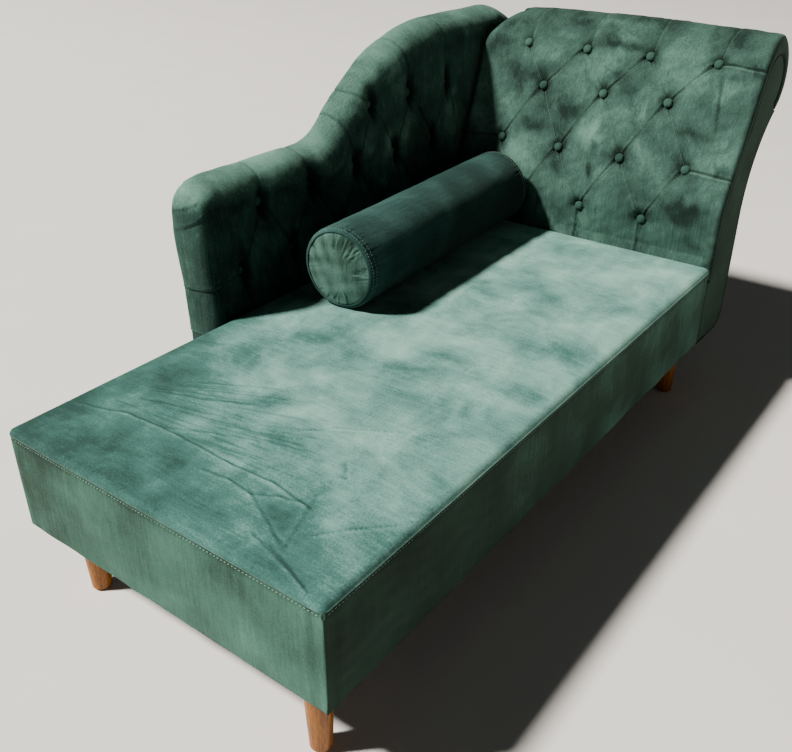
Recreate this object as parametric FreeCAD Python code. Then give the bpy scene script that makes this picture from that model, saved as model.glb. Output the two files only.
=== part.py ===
"""A chaise longue: a sprung seat box on four turned legs, a rolled and buttoned headrest at its head,
a buttoned arm with an S-shaped crest along one long side, and a loose bolster.

Millimetres. +X runs from the foot to the head, +Y from the open side to the arm, +Z up.
Pieces are laid out from the seat's foot corner on the open side, and then moved together so that
the origin is the middle of the floor under the whole chair.
"""
import FreeCAD, Part
import math
import os

from FreeCAD import Vector

# Seat box, over its cover
SEAT_LENGTH = 1380.0
SEAT_WIDTH = 700.0
SEAT_TOP = 337.0
SEAT_CROWN_EDGE = 2.0
SEAT_CROWN_MIDDLE = 9.0

# Cloth, and the room left between soft layers that curve together
VELVET = 2.0
LAYER_GAP = 0.3
BOXING_EDGE = 2.0
BOXING_MIDDLE = 5.0
DUST_COVER = 1.0

# Seat frame of softwood rails, standing on the legs
LEG_HEIGHT = 135.0
RAIL_THICK = 25.0
RAIL_HIGH = 118.0
BRACE_THICK = 22.0
BRACE_HIGH = 60.0
BRACE_COUNT = 2
POST_FOOT_LONG = 70.0
POST_FOOT_ARM_LONG = 110.0
POST_HEAD_LONG = 40.0
POST_WIDE = 100.0
POST_ARM_WIDE = 180.0

# Webbing over the rails
WEB_WIDE = 60.0
WEB_THICK = 1.6
WEB_ACROSS = 9
WEB_ALONG = 4

# Turned legs
LEG_TOP_RADIUS = 23.5
LEG_FOOT_RADIUS = 18.0
LEG_CHAMFER = 1.5
GLIDE_RADIUS = 12.0
GLIDE_THICK = 3.0
GLIDE_STEM_RADIUS = 1.5
GLIDE_STEM_LONG = 15.0
HANGER_RADIUS = 4.0
HANGER_IN_LEG = 40.0
HANGER_ABOVE = 24.0
INSERT_RADIUS = 6.0
INSERT_LONG = 15.0
BOLT_CLEARANCE = 0.2

# Headrest side profile, measured back from the seat's head end
HEADREST_DEPTH = 155.0
ROLL_BACK = 225.0
ROLL_Z = 718.0
ROLL_RADIUS = 90.0
LEAN = 26.6
FRONT_BEND = 220.0
REAR_BEND = 250.0
REAR_FOOT_RADIUS = 42.0
HEADREST_CORNER = 80.0
HEADREST_TUCK = 37.0
HEADREST_COVER = 28.0
HEADREST_FOAM = 25.0
HEADREST_BOARD = 4.0
BACK_COVER = 3.0
BACK_BOARD = 3.0
SIDE_COVER = 4.0
RIB_THICK = 18.0
PLANK_THICK = 22.0
PLANK_HIGH = 140.0
PLANK_UP = 15.0
POLE_RADIUS = 14.0
SPREADER_BACK = 100.0
SPREADER_Z = 430.0

# Buttons and their tufts
BUTTON_RADIUS = 10.0
BUTTON_THICK = 7.0
BUTTON_ROUND = 2.8
HEADREST_TUFT_RADIUS = 27.0
HEADREST_TUFT_DEPTH = 13.0
HEADREST_PITCH = 165.0
HEADREST_ROWS_Z = (412.0, 543.0, 672.0)
HEADREST_ROLL_ROW_ANGLE = 150.0
ARM_TUFT_RADIUS = 34.0
ARM_TUFT_DEPTH = 21.0
ARM_PITCH = 156.0
ARM_FIRST_TUFT = 108.0
ARM_TUFT_HEADROOM = 54.0
ARM_FIRST_ROW = 79.0
ARM_ROW_STEP = 127.0
CREASE_DEPTH = 6.0
CREASE_HALF_WIDTH = 7.0
CREASE_REACH = 0.75

# Arm, measured from the seat's foot end and up from the floor
ARM_START = 480.0
ARM_END = 1725.0
ARM_THICK = 98.0
ARM_LEAN = 5.0
CREST_LOW = 615.0
CREST_HIGH = 822.0
OGEE_START = 840.0
OGEE_END = 1370.0
OGEE_LOW_RADIUS = 150.0
ARM_FRONT_CORNER = 60.0
ARM_REAR_CORNER = 110.0
ARM_EDGE_ROUND = 36.0
ARM_OUTER_ROUND = 30.0
ARM_TUCK = 30.0
ARM_COVER = 28.0
ARM_FOAM = 20.0
ARM_INNER_BOARD = 6.0
ARM_OUTER_BOARD = 3.0
ARM_OUTSIDE_COVER = 4.0
ARM_END_COVER = 18.0
ARM_POST_WIDE = 60.0
ARM_RAIL_HIGH = 60.0
ARM_CREST_RAIL = 45.0

# Bolts that hold the headrest and the arm to the seat
BOLT_RADIUS = 4.0
BOLT_HEAD_RADIUS = 8.0
BOLT_HEAD_THICK = 4.0
BOLT_UP = 80.0
HEADREST_BOLTS = 4
ARM_BOLTS = 4

# Loose bolster
BOLSTER_RADIUS = 88.0
BOLSTER_LENGTH = 676.0
BOLSTER_SHOULDER = 14.0
BOLSTER_TURN = 2.75
BOLSTER_COVER = 3.0
BOLSTER_END = 4.0
BOLSTER_END_CROWN = 6.0
BOLSTER_TO_HEADREST = 20.0
BOLSTER_TO_ARM = 36.7
REST_GAP = 0.4

# How far a cut runs past the face it opens, and how far it runs where nothing stops it
OVERRUN = 1.0
BEYOND = 400.0

# Heights and planes worked out from the sizes above
BOX_BOTTOM = LEG_HEIGHT
FRAME_BOTTOM = BOX_BOTTOM + DUST_COVER
FRAME_TOP = FRAME_BOTTOM + RAIL_HIGH
DECK_TOP = FRAME_TOP + 2 * WEB_THICK
FOAM_TOP = SEAT_TOP - VELVET - LAYER_GAP

pieces = {}


def keep(name, shape):
    """Files one named piece, or a group of like pieces."""
    pieces[name] = shape


def box(x0, x1, y0, y1, z0, z1):
    """A block between two corners."""
    return Part.makeBox(x1 - x0, y1 - y0, z1 - z0, Vector(x0, y0, z0))


def rod(radius, start, axis, length):
    """A round bar from a point along an axis."""
    return Part.makeCylinder(radius, length, start, axis)


def line(a, b):
    """A straight edge."""
    return Part.makeLine(a, b)


def arc_xz(centre, radius, first, last, y=0.0):
    """An arc in an upright plane along X, between two angles in degrees from +X towards +Z."""
    turns = [math.radians(a) for a in (first, (first + last) / 2, last)]
    points = [Vector(centre[0] + radius * math.cos(t), y, centre[1] + radius * math.sin(t)) for t in turns]
    return Part.Arc(*points).toShape()


def prism(edges, along):
    """A solid made by drawing a closed outline along a vector."""
    return Part.Face(Part.Wire(Part.__sortEdges__(edges))).extrude(along)


def polygon(points, along):
    """A prism on straight sides."""
    return Part.Face(Part.makePolygon(points + [points[0]])).extrude(along)


# Seat box

def crowned_edges(x0, x1, y, z_low, z_high, crown, low_crown=None):
    """A closed section across the seat: upright ends, a bowed top and a flat or bowed bottom."""
    middle = (x0 + x1) / 2
    a, b = Vector(x0, y, z_low), Vector(x1, y, z_low)
    c, d = Vector(x1, y, z_high), Vector(x0, y, z_high)
    top = Part.Arc(c, Vector(middle, y, z_high + crown), d).toShape()
    if low_crown is None:
        bottom = line(a, b)
    else:
        bottom = Part.Arc(a, Vector(middle, y, z_low + low_crown), b).toShape()
    return Part.Wire([bottom, line(b, c), top, line(d, a)])


def crowned_pad(inset, z_low, z_high, bowed_bottom):
    """A pad over the whole seat with its crown, highest in the middle."""
    x0, x1 = inset, SEAT_LENGTH - inset
    sections = []
    for y, crown in (
        (inset, SEAT_CROWN_EDGE),
        (SEAT_WIDTH / 2, SEAT_CROWN_MIDDLE),
        (SEAT_WIDTH - inset, SEAT_CROWN_EDGE),
    ):
        low = crown if bowed_bottom else None
        sections.append(crowned_edges(x0, x1, y, z_low, z_high, crown, low))
    return Part.makeLoft(sections, True, False)


def boxing_panel(side):
    """One side of the seat's cover: flat inside, bowed outside and mitred at its ends."""
    d_edge, d_flat = BOXING_MIDDLE - BOXING_EDGE, BOXING_MIDDLE
    z0, z1 = BOX_BOTTOM, SEAT_TOP - VELVET - LAYER_GAP
    zm = (z0 + z1) / 2
    bow = Part.Arc(Vector(0, d_edge, z1), Vector(0, 0, zm), Vector(0, d_edge, z0)).toShape()
    flat = [
        line(Vector(0, d_edge, z0), Vector(0, d_flat, z0)),
        line(Vector(0, d_flat, z0), Vector(0, d_flat, z1)),
        line(Vector(0, d_flat, z1), Vector(0, d_edge, z1)),
    ]
    long_side = side in ("open_side", "arm_side")
    run = SEAT_LENGTH if long_side else SEAT_WIDTH
    strip = prism([bow] + flat, Vector(run, 0, 0))
    reach = 2 * BOXING_MIDDLE
    mitre = polygon(
        [Vector(0, 0, z0), Vector(run, 0, z0), Vector(run - reach, reach, z0), Vector(reach, reach, z0)],
        Vector(0, 0, z1 - z0),
    )
    panel = strip.common(mitre)
    if side == "arm_side":
        panel = panel.mirror(Vector(0, SEAT_WIDTH / 2, 0), Vector(0, 1, 0))
    if side == "head":
        panel.rotate(Vector(0, 0, 0), Vector(0, 0, 1), 90)
        panel.translate(Vector(SEAT_LENGTH, 0, 0))
    if side == "foot":
        panel.rotate(Vector(0, 0, 0), Vector(0, 0, 1), -90)
        panel.translate(Vector(0, SEAT_WIDTH, 0))
    return panel


def corner_posts():
    """The four corner posts' plans, by name: low and high x, then low and high y."""
    x0, x1 = BOXING_MIDDLE, SEAT_LENGTH - BOXING_MIDDLE
    y0, y1 = BOXING_MIDDLE, SEAT_WIDTH - BOXING_MIDDLE
    foot, head = (x0, x0 + POST_FOOT_LONG), (x1 - POST_HEAD_LONG, x1)
    near, far = (y0, y0 + POST_WIDE), (y1 - POST_ARM_WIDE, y1)
    return {
        "foot_open": foot + near,
        "foot_arm": (x0, x0 + POST_FOOT_ARM_LONG) + far,
        "head_open": head + near,
        "head_arm": head + far,
    }


def leg_centres():
    """The four legs' centres on plan, by name: each is under the middle of its corner post."""
    return {name: ((x0 + x1) / 2, (y0 + y1) / 2) for name, (x0, x1, y0, y1) in corner_posts().items()}


def evenly(first, last, count):
    """Places at even steps between two ends, half a step in from each."""
    step = (last - first) / count
    return [first + step * (i + 0.5) for i in range(count)]


def headrest_bolt_rows():
    """Where the headrest's bolts pass, across the seat."""
    return evenly(BOXING_MIDDLE + POST_WIDE, SEAT_WIDTH - BOXING_MIDDLE - POST_ARM_WIDE, HEADREST_BOLTS)


def arm_bolt_rows():
    """Where the arm's bolts pass, along the seat."""
    return evenly(ARM_START + ARM_POST_WIDE, SEAT_LENGTH - BOXING_MIDDLE - POST_HEAD_LONG, ARM_BOLTS)


def make_seat_frame():
    """A post in each corner, four rails between the posts and two braces below the webbing."""
    x0, x1 = BOXING_MIDDLE, SEAT_LENGTH - BOXING_MIDDLE
    y0, y1 = BOXING_MIDDLE, SEAT_WIDTH - BOXING_MIDDLE
    z0, z1 = FRAME_BOTTOM, FRAME_TOP
    rail_x0, rail_x1 = x0 + POST_FOOT_LONG, x1 - POST_HEAD_LONG
    rail_y0, rail_y1 = y0 + POST_WIDE, y1 - POST_ARM_WIDE
    bolt_z = BOX_BOTTOM + BOLT_UP
    hole = BOLT_RADIUS + BOLT_CLEARANCE
    arm_rail = box(x0 + POST_FOOT_ARM_LONG, rail_x1, y1 - RAIL_THICK, y1, z0, z1)
    for x in arm_bolt_rows():
        arm_rail = arm_rail.cut(rod(hole, Vector(x, y1 - RAIL_THICK, bolt_z), Vector(0, 1, 0), RAIL_THICK))
    head_rail = box(x1 - RAIL_THICK, x1, rail_y0, rail_y1, z0, z1)
    for y in headrest_bolt_rows():
        head_rail = head_rail.cut(rod(hole, Vector(x1 - RAIL_THICK, y, bolt_z), Vector(1, 0, 0), RAIL_THICK))
    keep("seat_rail_open_side", box(rail_x0, rail_x1, y0, y0 + RAIL_THICK, z0, z1))
    keep("seat_rail_arm_side", arm_rail)
    keep("seat_rail_foot", box(x0, x0 + RAIL_THICK, rail_y0, rail_y1, z0, z1))
    keep("seat_rail_head", head_rail)
    names = ["seat_brace_%d" % (i + 1) for i in range(BRACE_COUNT)]
    half = BRACE_THICK / 2
    for name, x in zip(names, evenly(x0, x1, BRACE_COUNT)):
        keep(name, box(x - half, x + half, y0 + RAIL_THICK, y1 - RAIL_THICK, z0, z0 + BRACE_HIGH))
    up = Vector(0, 0, 1)
    for name, (px0, px1, py0, py1) in corner_posts().items():
        x, y = leg_centres()[name]
        post = box(px0, px1, py0, py1, z0, z1)
        post = post.cut(rod(INSERT_RADIUS, Vector(x, y, z0), up, INSERT_LONG))
        bore = rod(HANGER_RADIUS + BOLT_CLEARANCE, Vector(x, y, z0), up, HANGER_ABOVE + BOLT_CLEARANCE)
        keep("seat_post_" + name, post.cut(bore))


def make_legs():
    """Turned legs with a nail-on glide, each screwed up into a threaded insert by its hanger bolt."""
    inserts, bolts, glides = [], [], []
    up = Vector(0, 0, 1)
    for name, (x, y) in leg_centres().items():
        leg = Part.makeCone(
            LEG_FOOT_RADIUS, LEG_TOP_RADIUS, LEG_HEIGHT - GLIDE_THICK, Vector(x, y, GLIDE_THICK), up
        )
        foot_rim = [e for e in leg.Edges if e.BoundBox.ZMax < GLIDE_THICK + OVERRUN]
        leg = leg.makeChamfer(LEG_CHAMFER, foot_rim)
        bolt_start = LEG_HEIGHT - HANGER_IN_LEG
        leg = leg.cut(rod(HANGER_RADIUS, Vector(x, y, bolt_start), up, HANGER_IN_LEG))
        leg = leg.cut(rod(GLIDE_STEM_RADIUS, Vector(x, y, GLIDE_THICK), up, GLIDE_STEM_LONG))
        keep("leg_" + name, leg)
        bolts.append(rod(HANGER_RADIUS, Vector(x, y, bolt_start), up, HANGER_IN_LEG + HANGER_ABOVE))
        insert = rod(INSERT_RADIUS, Vector(x, y, FRAME_BOTTOM), up, INSERT_LONG)
        inserts.append(insert.cut(rod(HANGER_RADIUS, Vector(x, y, FRAME_BOTTOM), up, INSERT_LONG)))
        stem = rod(GLIDE_STEM_RADIUS, Vector(x, y, GLIDE_THICK), up, GLIDE_STEM_LONG)
        glides.append(rod(GLIDE_RADIUS, Vector(x, y, 0), up, GLIDE_THICK).fuse(stem).removeSplitter())
    keep("leg_threaded_inserts", Part.makeCompound(inserts))
    keep("leg_hanger_bolts", Part.makeCompound(bolts))
    keep("leg_glides", Part.makeCompound(glides))


def make_seat_upholstery():
    """Webbing, foam, the crowned top panel, four boxing panels and the dust cover."""
    x0, x1 = BOXING_MIDDLE, SEAT_LENGTH - BOXING_MIDDLE
    y0, y1 = BOXING_MIDDLE, SEAT_WIDTH - BOXING_MIDDLE
    half = WEB_WIDE / 2
    across = [box(x - half, x + half, y0, y1, FRAME_TOP, FRAME_TOP + WEB_THICK) for x in evenly(x0, x1, WEB_ACROSS)]
    low = FRAME_TOP + WEB_THICK
    along = [box(x0, x1, y - half, y + half, low, low + WEB_THICK) for y in evenly(y0, y1, WEB_ALONG)]
    keep("seat_webbing_across", Part.makeCompound(across))
    keep("seat_webbing_along", Part.makeCompound(along))
    keep("seat_foam", crowned_pad(BOXING_MIDDLE, DECK_TOP, FOAM_TOP, False))
    keep("seat_cover_top", crowned_pad(BOXING_MIDDLE - BOXING_EDGE, FOAM_TOP + LAYER_GAP, SEAT_TOP, True))
    hole = BOLT_RADIUS + BOLT_CLEARANCE
    bolt_z = BOX_BOTTOM + BOLT_UP
    through = BOXING_MIDDLE + 2 * OVERRUN
    for side in ("foot", "head", "open_side", "arm_side"):
        panel = boxing_panel(side)
        if side == "arm_side":
            for x in arm_bolt_rows():
                panel = panel.cut(rod(hole, Vector(x, y1 - OVERRUN, bolt_z), Vector(0, 1, 0), through))
        if side == "head":
            for y in headrest_bolt_rows():
                panel = panel.cut(rod(hole, Vector(x1 - OVERRUN, y, bolt_z), Vector(1, 0, 0), through))
        keep("seat_boxing_" + side, panel)
    dust = box(x0, x1, y0, y1, BOX_BOTTOM, FRAME_BOTTOM)
    for x, y in leg_centres().values():
        bore = rod(HANGER_RADIUS + BOLT_CLEARANCE, Vector(x, y, BOX_BOTTOM), Vector(0, 0, 1), DUST_COVER)
        dust = dust.cut(bore)
    keep("seat_dust_cover", dust)


# Headrest

def headrest_points():
    """Centres and angles that every headrest layer shares."""
    lean = math.radians(LEAN)
    tangent = (ROLL_BACK - ROLL_RADIUS * math.cos(lean), ROLL_Z + ROLL_RADIUS * math.sin(lean))
    corner_z = tangent[1] - tangent[0] / math.tan(lean)
    bend_z = corner_z - FRONT_BEND * math.tan(lean / 2)
    reach = ROLL_RADIUS + REAR_BEND
    across = HEADREST_DEPTH + REAR_BEND - ROLL_BACK
    drop = math.sqrt(reach * reach - across * across)
    leave = math.degrees(math.atan2(-drop, across))
    return bend_z, (ROLL_BACK, ROLL_Z), (HEADREST_DEPTH + REAR_BEND, ROLL_Z - drop), leave


def at(x, z, y=0.0):
    """A point given by its distance behind the seat's head end."""
    return Vector(SEAT_LENGTH + x, y, z)


def front_edges(inset, z_start):
    """The headrest's front and roll, from a height up, over and round to the back of the roll."""
    bend_z, roll, _, leave = headrest_points()
    lean = math.radians(LEAN)
    bend = (SEAT_LENGTH + FRONT_BEND, bend_z)
    roll_at = (SEAT_LENGTH + roll[0], roll[1])
    radius = ROLL_RADIUS - inset
    bend_end = at(FRONT_BEND - (FRONT_BEND - inset) * math.cos(lean), bend_z + (FRONT_BEND - inset) * math.sin(lean))
    roll_start = at(roll[0] - radius * math.cos(lean), roll[1] + radius * math.sin(lean))
    edges = [
        line(at(inset, z_start), at(inset, bend_z)),
        arc_xz(bend, FRONT_BEND - inset, 180, 180 - LEAN),
        line(bend_end, roll_start),
        arc_xz(roll_at, radius, 180 - LEAN, 90),
        arc_xz(roll_at, radius, 90, leave),
    ]
    return edges, at(inset, z_start), roll_end(radius)


def roll_end(radius):
    """The point on a circle about the roll's centre where the front layers stop."""
    _, roll, _, leave = headrest_points()
    angle = math.radians(leave)
    return at(roll[0] + radius * math.cos(angle), roll[1] + radius * math.sin(angle))


def rear_edges(inset, x_stop):
    """The headrest's back, from the roll down, round its foot and forward to a depth."""
    _, _, rear, leave = headrest_points()
    centre = (SEAT_LENGTH + rear[0], rear[1])
    foot_x, foot_z = HEADREST_DEPTH - REAR_FOOT_RADIUS, BOX_BOTTOM + REAR_FOOT_RADIUS
    stop = at(x_stop, BOX_BOTTOM + inset)
    edges = [
        arc_xz(centre, REAR_BEND + inset, 180 + leave, 180),
        line(at(HEADREST_DEPTH - inset, rear[1]), at(HEADREST_DEPTH - inset, foot_z)),
        arc_xz((SEAT_LENGTH + foot_x, foot_z), REAR_FOOT_RADIUS - inset, 0, -90),
        line(at(foot_x, BOX_BOTTOM + inset), stop),
    ]
    return edges, roll_end(ROLL_RADIUS - inset), stop


def front_band(outer, inner, y0, y1):
    """One layer over the headrest's front and roll."""
    z_start = SEAT_TOP - HEADREST_TUCK
    outside, a, b = front_edges(outer, z_start)
    inside, c, d = front_edges(inner, z_start)
    solid = prism(outside + inside + [line(a, c), line(b, d)], Vector(0, y1 - y0, 0))
    solid.translate(Vector(0, y0, 0))
    return solid


def rear_band(outer, inner, y0, y1):
    """One layer over the headrest's back."""
    outside, a, b = rear_edges(outer, 0)
    inside, c, d = rear_edges(inner, 0)
    solid = prism(outside + inside + [line(a, c), line(b, d)], Vector(0, y1 - y0, 0))
    solid.translate(Vector(0, y0, 0))
    return solid


def rib(front, low_front, rear, y0, y1):
    """A plate on the headrest's profile: set in from the front, the lower front and the back."""
    z_step = SEAT_TOP - HEADREST_TUCK
    over, start, over_end = front_edges(front, z_step)
    down, rear_start, rear_end = rear_edges(rear, low_front)
    step = at(low_front, z_step)
    edges = over + [line(over_end, rear_start)] + down + [line(rear_end, step), line(step, start)]
    solid = prism(edges, Vector(0, y1 - y0, 0))
    solid.translate(Vector(0, y0, 0))
    return solid


def arm_side_room(gap):
    """The space on the arm's side that headrest layers give way to."""
    slope = math.tan(math.radians(ARM_LEAN))
    x, y = SEAT_LENGTH - BEYOND, SEAT_WIDTH - gap
    high = SEAT_TOP + BEYOND + ARM_THICK
    points = [
        Vector(x, y, 0),
        Vector(x, y, SEAT_TOP),
        Vector(x, y + (high - SEAT_TOP) * slope, high),
        Vector(x, y + BEYOND, high),
        Vector(x, y + BEYOND, 0),
    ]
    return polygon(points, Vector(2 * BEYOND + HEADREST_DEPTH, 0, 0))


def top_corner_room(inset):
    """What the headrest's rounded top corner beside the arm leaves free."""
    slope = math.tan(math.radians(ARM_LEAN))
    z = ROLL_Z + ROLL_RADIUS - HEADREST_CORNER
    y = SEAT_WIDTH + (z - SEAT_TOP) * slope - HEADREST_CORNER
    x0, x1 = SEAT_LENGTH, SEAT_LENGTH + ROLL_BACK + 2 * ROLL_RADIUS
    reach = 2 * HEADREST_CORNER
    block = box(x0, x1, y, y + reach, z, z + reach)
    return block.cut(rod(HEADREST_CORNER - inset, Vector(x0, y, z), Vector(1, 0, 0), x1 - x0))


def headrest_surface(row):
    """The middle of a row of buttons on the headrest's face, and the way out of it."""
    bend_z, roll, _, _ = headrest_points()
    lean = math.radians(LEAN)
    if row == len(HEADREST_ROWS_Z):
        turn = math.radians(HEADREST_ROLL_ROW_ANGLE)
        out = Vector(math.cos(turn), 0, math.sin(turn))
        return at(roll[0] + ROLL_RADIUS * out.x, roll[1] + ROLL_RADIUS * out.z), out
    z = HEADREST_ROWS_Z[row]
    if z <= bend_z:
        return at(0, z), Vector(-1, 0, 0)
    bend_top = bend_z + FRONT_BEND * math.sin(lean)
    if z < bend_top:
        turn = math.asin((z - bend_z) / FRONT_BEND)
        out = Vector(-math.cos(turn), 0, math.sin(turn))
        return at(FRONT_BEND + FRONT_BEND * out.x, z), out
    x = roll[0] - ROLL_RADIUS * math.cos(lean) - (roll[1] + ROLL_RADIUS * math.sin(lean) - z) * math.tan(lean)
    return at(x, z), Vector(-math.cos(lean), 0, math.sin(lean))


def headrest_tufts():
    """Rows of tufts on the headrest, staggered: a list of rows of (point, way out)."""
    slope = math.tan(math.radians(ARM_LEAN))
    rows = []
    for row in range(len(HEADREST_ROWS_Z) + 1):
        point, out = headrest_surface(row)
        middle = (SEAT_WIDTH + (HEADREST_ROWS_Z[1] - SEAT_TOP) * slope) / 2
        count = 3 if row % 2 == 0 else 4
        start = middle - HEADREST_PITCH * (count - 1) / 2
        rows.append([(Vector(point.x, start + HEADREST_PITCH * i, point.z), out) for i in range(count)])
    return rows


def pit(point, out, radius, depth):
    """The hollow that a button is pulled down into: a cone that narrows to the button."""
    floor = BUTTON_RADIUS + LAYER_GAP
    mouth = radius + (radius - floor) * OVERRUN / depth
    return Part.makeCone(floor, mouth, depth + OVERRUN, point - out * depth, out)


def button(point, out, depth):
    """A covered button, domed, sitting on the bottom of its pit."""
    shape = rod(BUTTON_RADIUS, point - out * depth, out, BUTTON_THICK)
    rim = [e for e in shape.Edges if e.Closed]
    far = max(rim, key=lambda e: (e.CenterOfMass - point).dot(out))
    return shape.makeFillet(BUTTON_ROUND, [far])


def crease(a, b, out, depth):
    """A fold between two tufts: a wedge whose edge runs from one to the other below the surface."""
    way = (b - a).normalize()
    side = way.cross(out).normalize()
    lift = depth + OVERRUN
    wide = CREASE_HALF_WIDTH * (lift + depth) / depth
    points = [a - out * depth, a + out * lift + side * wide, a + out * lift - side * wide]
    return polygon(points, b - a)


def tufted(solid, rows, radius, depth, extra_creases=()):
    """Sews rows of tufts into a pad, with folds on the diagonals between them."""
    tools = []
    for row in rows:
        tools += [pit(point, out, radius, depth) for point, out in row]
    for low, high in zip(rows, rows[1:]):
        for p, p_out in low:
            for q, q_out in high:
                if abs((q - p).dot(along_row(low))) < CREASE_REACH * row_pitch(low):
                    out = (p_out + q_out).normalize()
                    tools.append(crease(p, q, out, CREASE_DEPTH))
    tools += [crease(a, b, out, CREASE_DEPTH) for a, b, out in extra_creases]
    return solid.cut(tools)


def along_row(row):
    """The direction of a row of tufts."""
    return (row[1][0] - row[0][0]).normalize()


def row_pitch(row):
    """The step between tufts in a row."""
    return (row[1][0] - row[0][0]).Length


def make_headrest():
    """Ribs and cross pieces, boards, foam, the buttoned cover and the plain covers."""
    wide = SEAT_WIDTH + ARM_THICK
    room = arm_side_room(LAYER_GAP)
    rows = headrest_tufts()
    cover = front_band(0, HEADREST_COVER, 0, wide).cut(room).cut(top_corner_room(0))
    end_z = SEAT_TOP - HEADREST_TUCK
    seams = []
    for point, out in rows[0]:
        seams.append((point, Vector(point.x, point.y, end_z), out))
    keep("headrest_tufted_cover", tufted(cover, rows, HEADREST_TUFT_RADIUS, HEADREST_TUFT_DEPTH, seams))
    buttons = [button(point, out, HEADREST_TUFT_DEPTH) for row in rows for point, out in row]
    keep("headrest_buttons", Part.makeCompound(buttons))
    foam_in = HEADREST_COVER + HEADREST_FOAM
    foam = front_band(HEADREST_COVER, foam_in, SIDE_COVER, wide).cut(room)
    keep("headrest_foam", foam.cut(top_corner_room(HEADREST_COVER)))
    rib_front = foam_in + HEADREST_BOARD
    keep("headrest_front_board", front_band(foam_in, rib_front, SIDE_COVER, SEAT_WIDTH - SIDE_COVER))
    rib_rear = BACK_COVER + BACK_BOARD
    keep("headrest_back_cover", rear_band(0, BACK_COVER, 0, SEAT_WIDTH))
    keep("headrest_back_board", rear_band(BACK_COVER, rib_rear, SIDE_COVER, SEAT_WIDTH - SIDE_COVER))
    top_pole = Vector(SEAT_LENGTH + ROLL_BACK, SIDE_COVER, ROLL_Z)
    low_pole = Vector(SEAT_LENGTH + SPREADER_BACK, SIDE_COVER, SPREADER_Z)
    pole_long = SEAT_WIDTH - 2 * SIDE_COVER
    across = Vector(0, 1, 0)
    holes = [rod(POLE_RADIUS + BOLT_CLEARANCE, start, across, pole_long) for start in (top_pole, low_pole)]
    places = {
        "open_side": SIDE_COVER,
        "middle": (SEAT_WIDTH - RIB_THICK) / 2,
        "arm_side": SEAT_WIDTH - SIDE_COVER - RIB_THICK,
    }
    for name, y in places.items():
        plate = rib(rib_front, PLANK_THICK, rib_rear, y, y + RIB_THICK)
        keep("headrest_rib_" + name, plate.cut(holes))
    keep("headrest_top_pole", rod(POLE_RADIUS, top_pole, across, pole_long))
    keep("headrest_spreader", rod(POLE_RADIUS, low_pole, across, pole_long))
    keep("headrest_side_cover_open", rib(HEADREST_COVER, 0, BACK_COVER, 0, SIDE_COVER))
    keep("headrest_side_cover_arm", rib(foam_in, 0, BACK_COVER, SEAT_WIDTH - SIDE_COVER, SEAT_WIDTH))
    plank_z = FRAME_BOTTOM + PLANK_UP
    plank = box(
        SEAT_LENGTH,
        SEAT_LENGTH + PLANK_THICK,
        SIDE_COVER,
        SEAT_WIDTH - SIDE_COVER,
        plank_z,
        plank_z + PLANK_HIGH,
    )
    bolt_z = BOX_BOTTOM + BOLT_UP
    bolts = []
    for y in headrest_bolt_rows():
        head_x = SEAT_LENGTH - BOXING_MIDDLE - RAIL_THICK - BOLT_HEAD_THICK
        hole = rod(BOLT_RADIUS + BOLT_CLEARANCE, Vector(SEAT_LENGTH, y, bolt_z), Vector(1, 0, 0), PLANK_THICK)
        plank = plank.cut(hole)
        bolts.append(bolt(Vector(head_x, y, bolt_z), Vector(1, 0, 0), RAIL_THICK + BOXING_MIDDLE + PLANK_THICK))
    keep("headrest_mounting_plank", plank)
    keep("headrest_bolts", Part.makeCompound(bolts))


def bolt(start, axis, long):
    """A machine screw: a flat round head and its shank."""
    head = rod(BOLT_HEAD_RADIUS, start, axis, BOLT_HEAD_THICK)
    shank = rod(BOLT_RADIUS, start + axis * BOLT_HEAD_THICK, axis, long)
    return head.fuse(shank).removeSplitter()


# Arm

def arm_y(depth, z):
    """How far across the seat the arm is, at a depth from its inner face and a height."""
    slope = math.tan(math.radians(ARM_LEAN))
    return SEAT_WIDTH + LAYER_GAP + depth + max(0.0, z - SEAT_TOP) * slope


def arm_slab(shallow, deep):
    """A layer of the arm: upright beside the seat and leaning outwards above it."""
    heights = [0, SEAT_TOP, CREST_HIGH + ARM_THICK]
    near = [Vector(0, arm_y(shallow, z), z) for z in heights]
    far = [Vector(0, arm_y(deep, z), z) for z in reversed(heights)]
    return polygon(near + far, Vector(ARM_END + ARM_THICK, 0, 0))


def ogee():
    """The two arcs of the crest's rise: their turn in degrees and the upper arc's radius."""
    run, rise = OGEE_END - OGEE_START, CREST_HIGH - CREST_LOW
    radii = (run * run + rise * rise) / (2 * rise)
    return math.degrees(math.asin(run / radii)), radii - OGEE_LOW_RADIUS


def crest_z(x):
    """The crest's height at a distance from the seat's foot end."""
    turn, high_radius = ogee()
    inflection = OGEE_START + OGEE_LOW_RADIUS * math.sin(math.radians(turn))
    if x < OGEE_START:
        return CREST_LOW
    if x < inflection:
        return CREST_LOW + OGEE_LOW_RADIUS - math.sqrt(OGEE_LOW_RADIUS**2 - (x - OGEE_START) ** 2)
    if x < OGEE_END:
        return CREST_HIGH - high_radius + math.sqrt(high_radius**2 - (OGEE_END - x) ** 2)
    return CREST_HIGH


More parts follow.
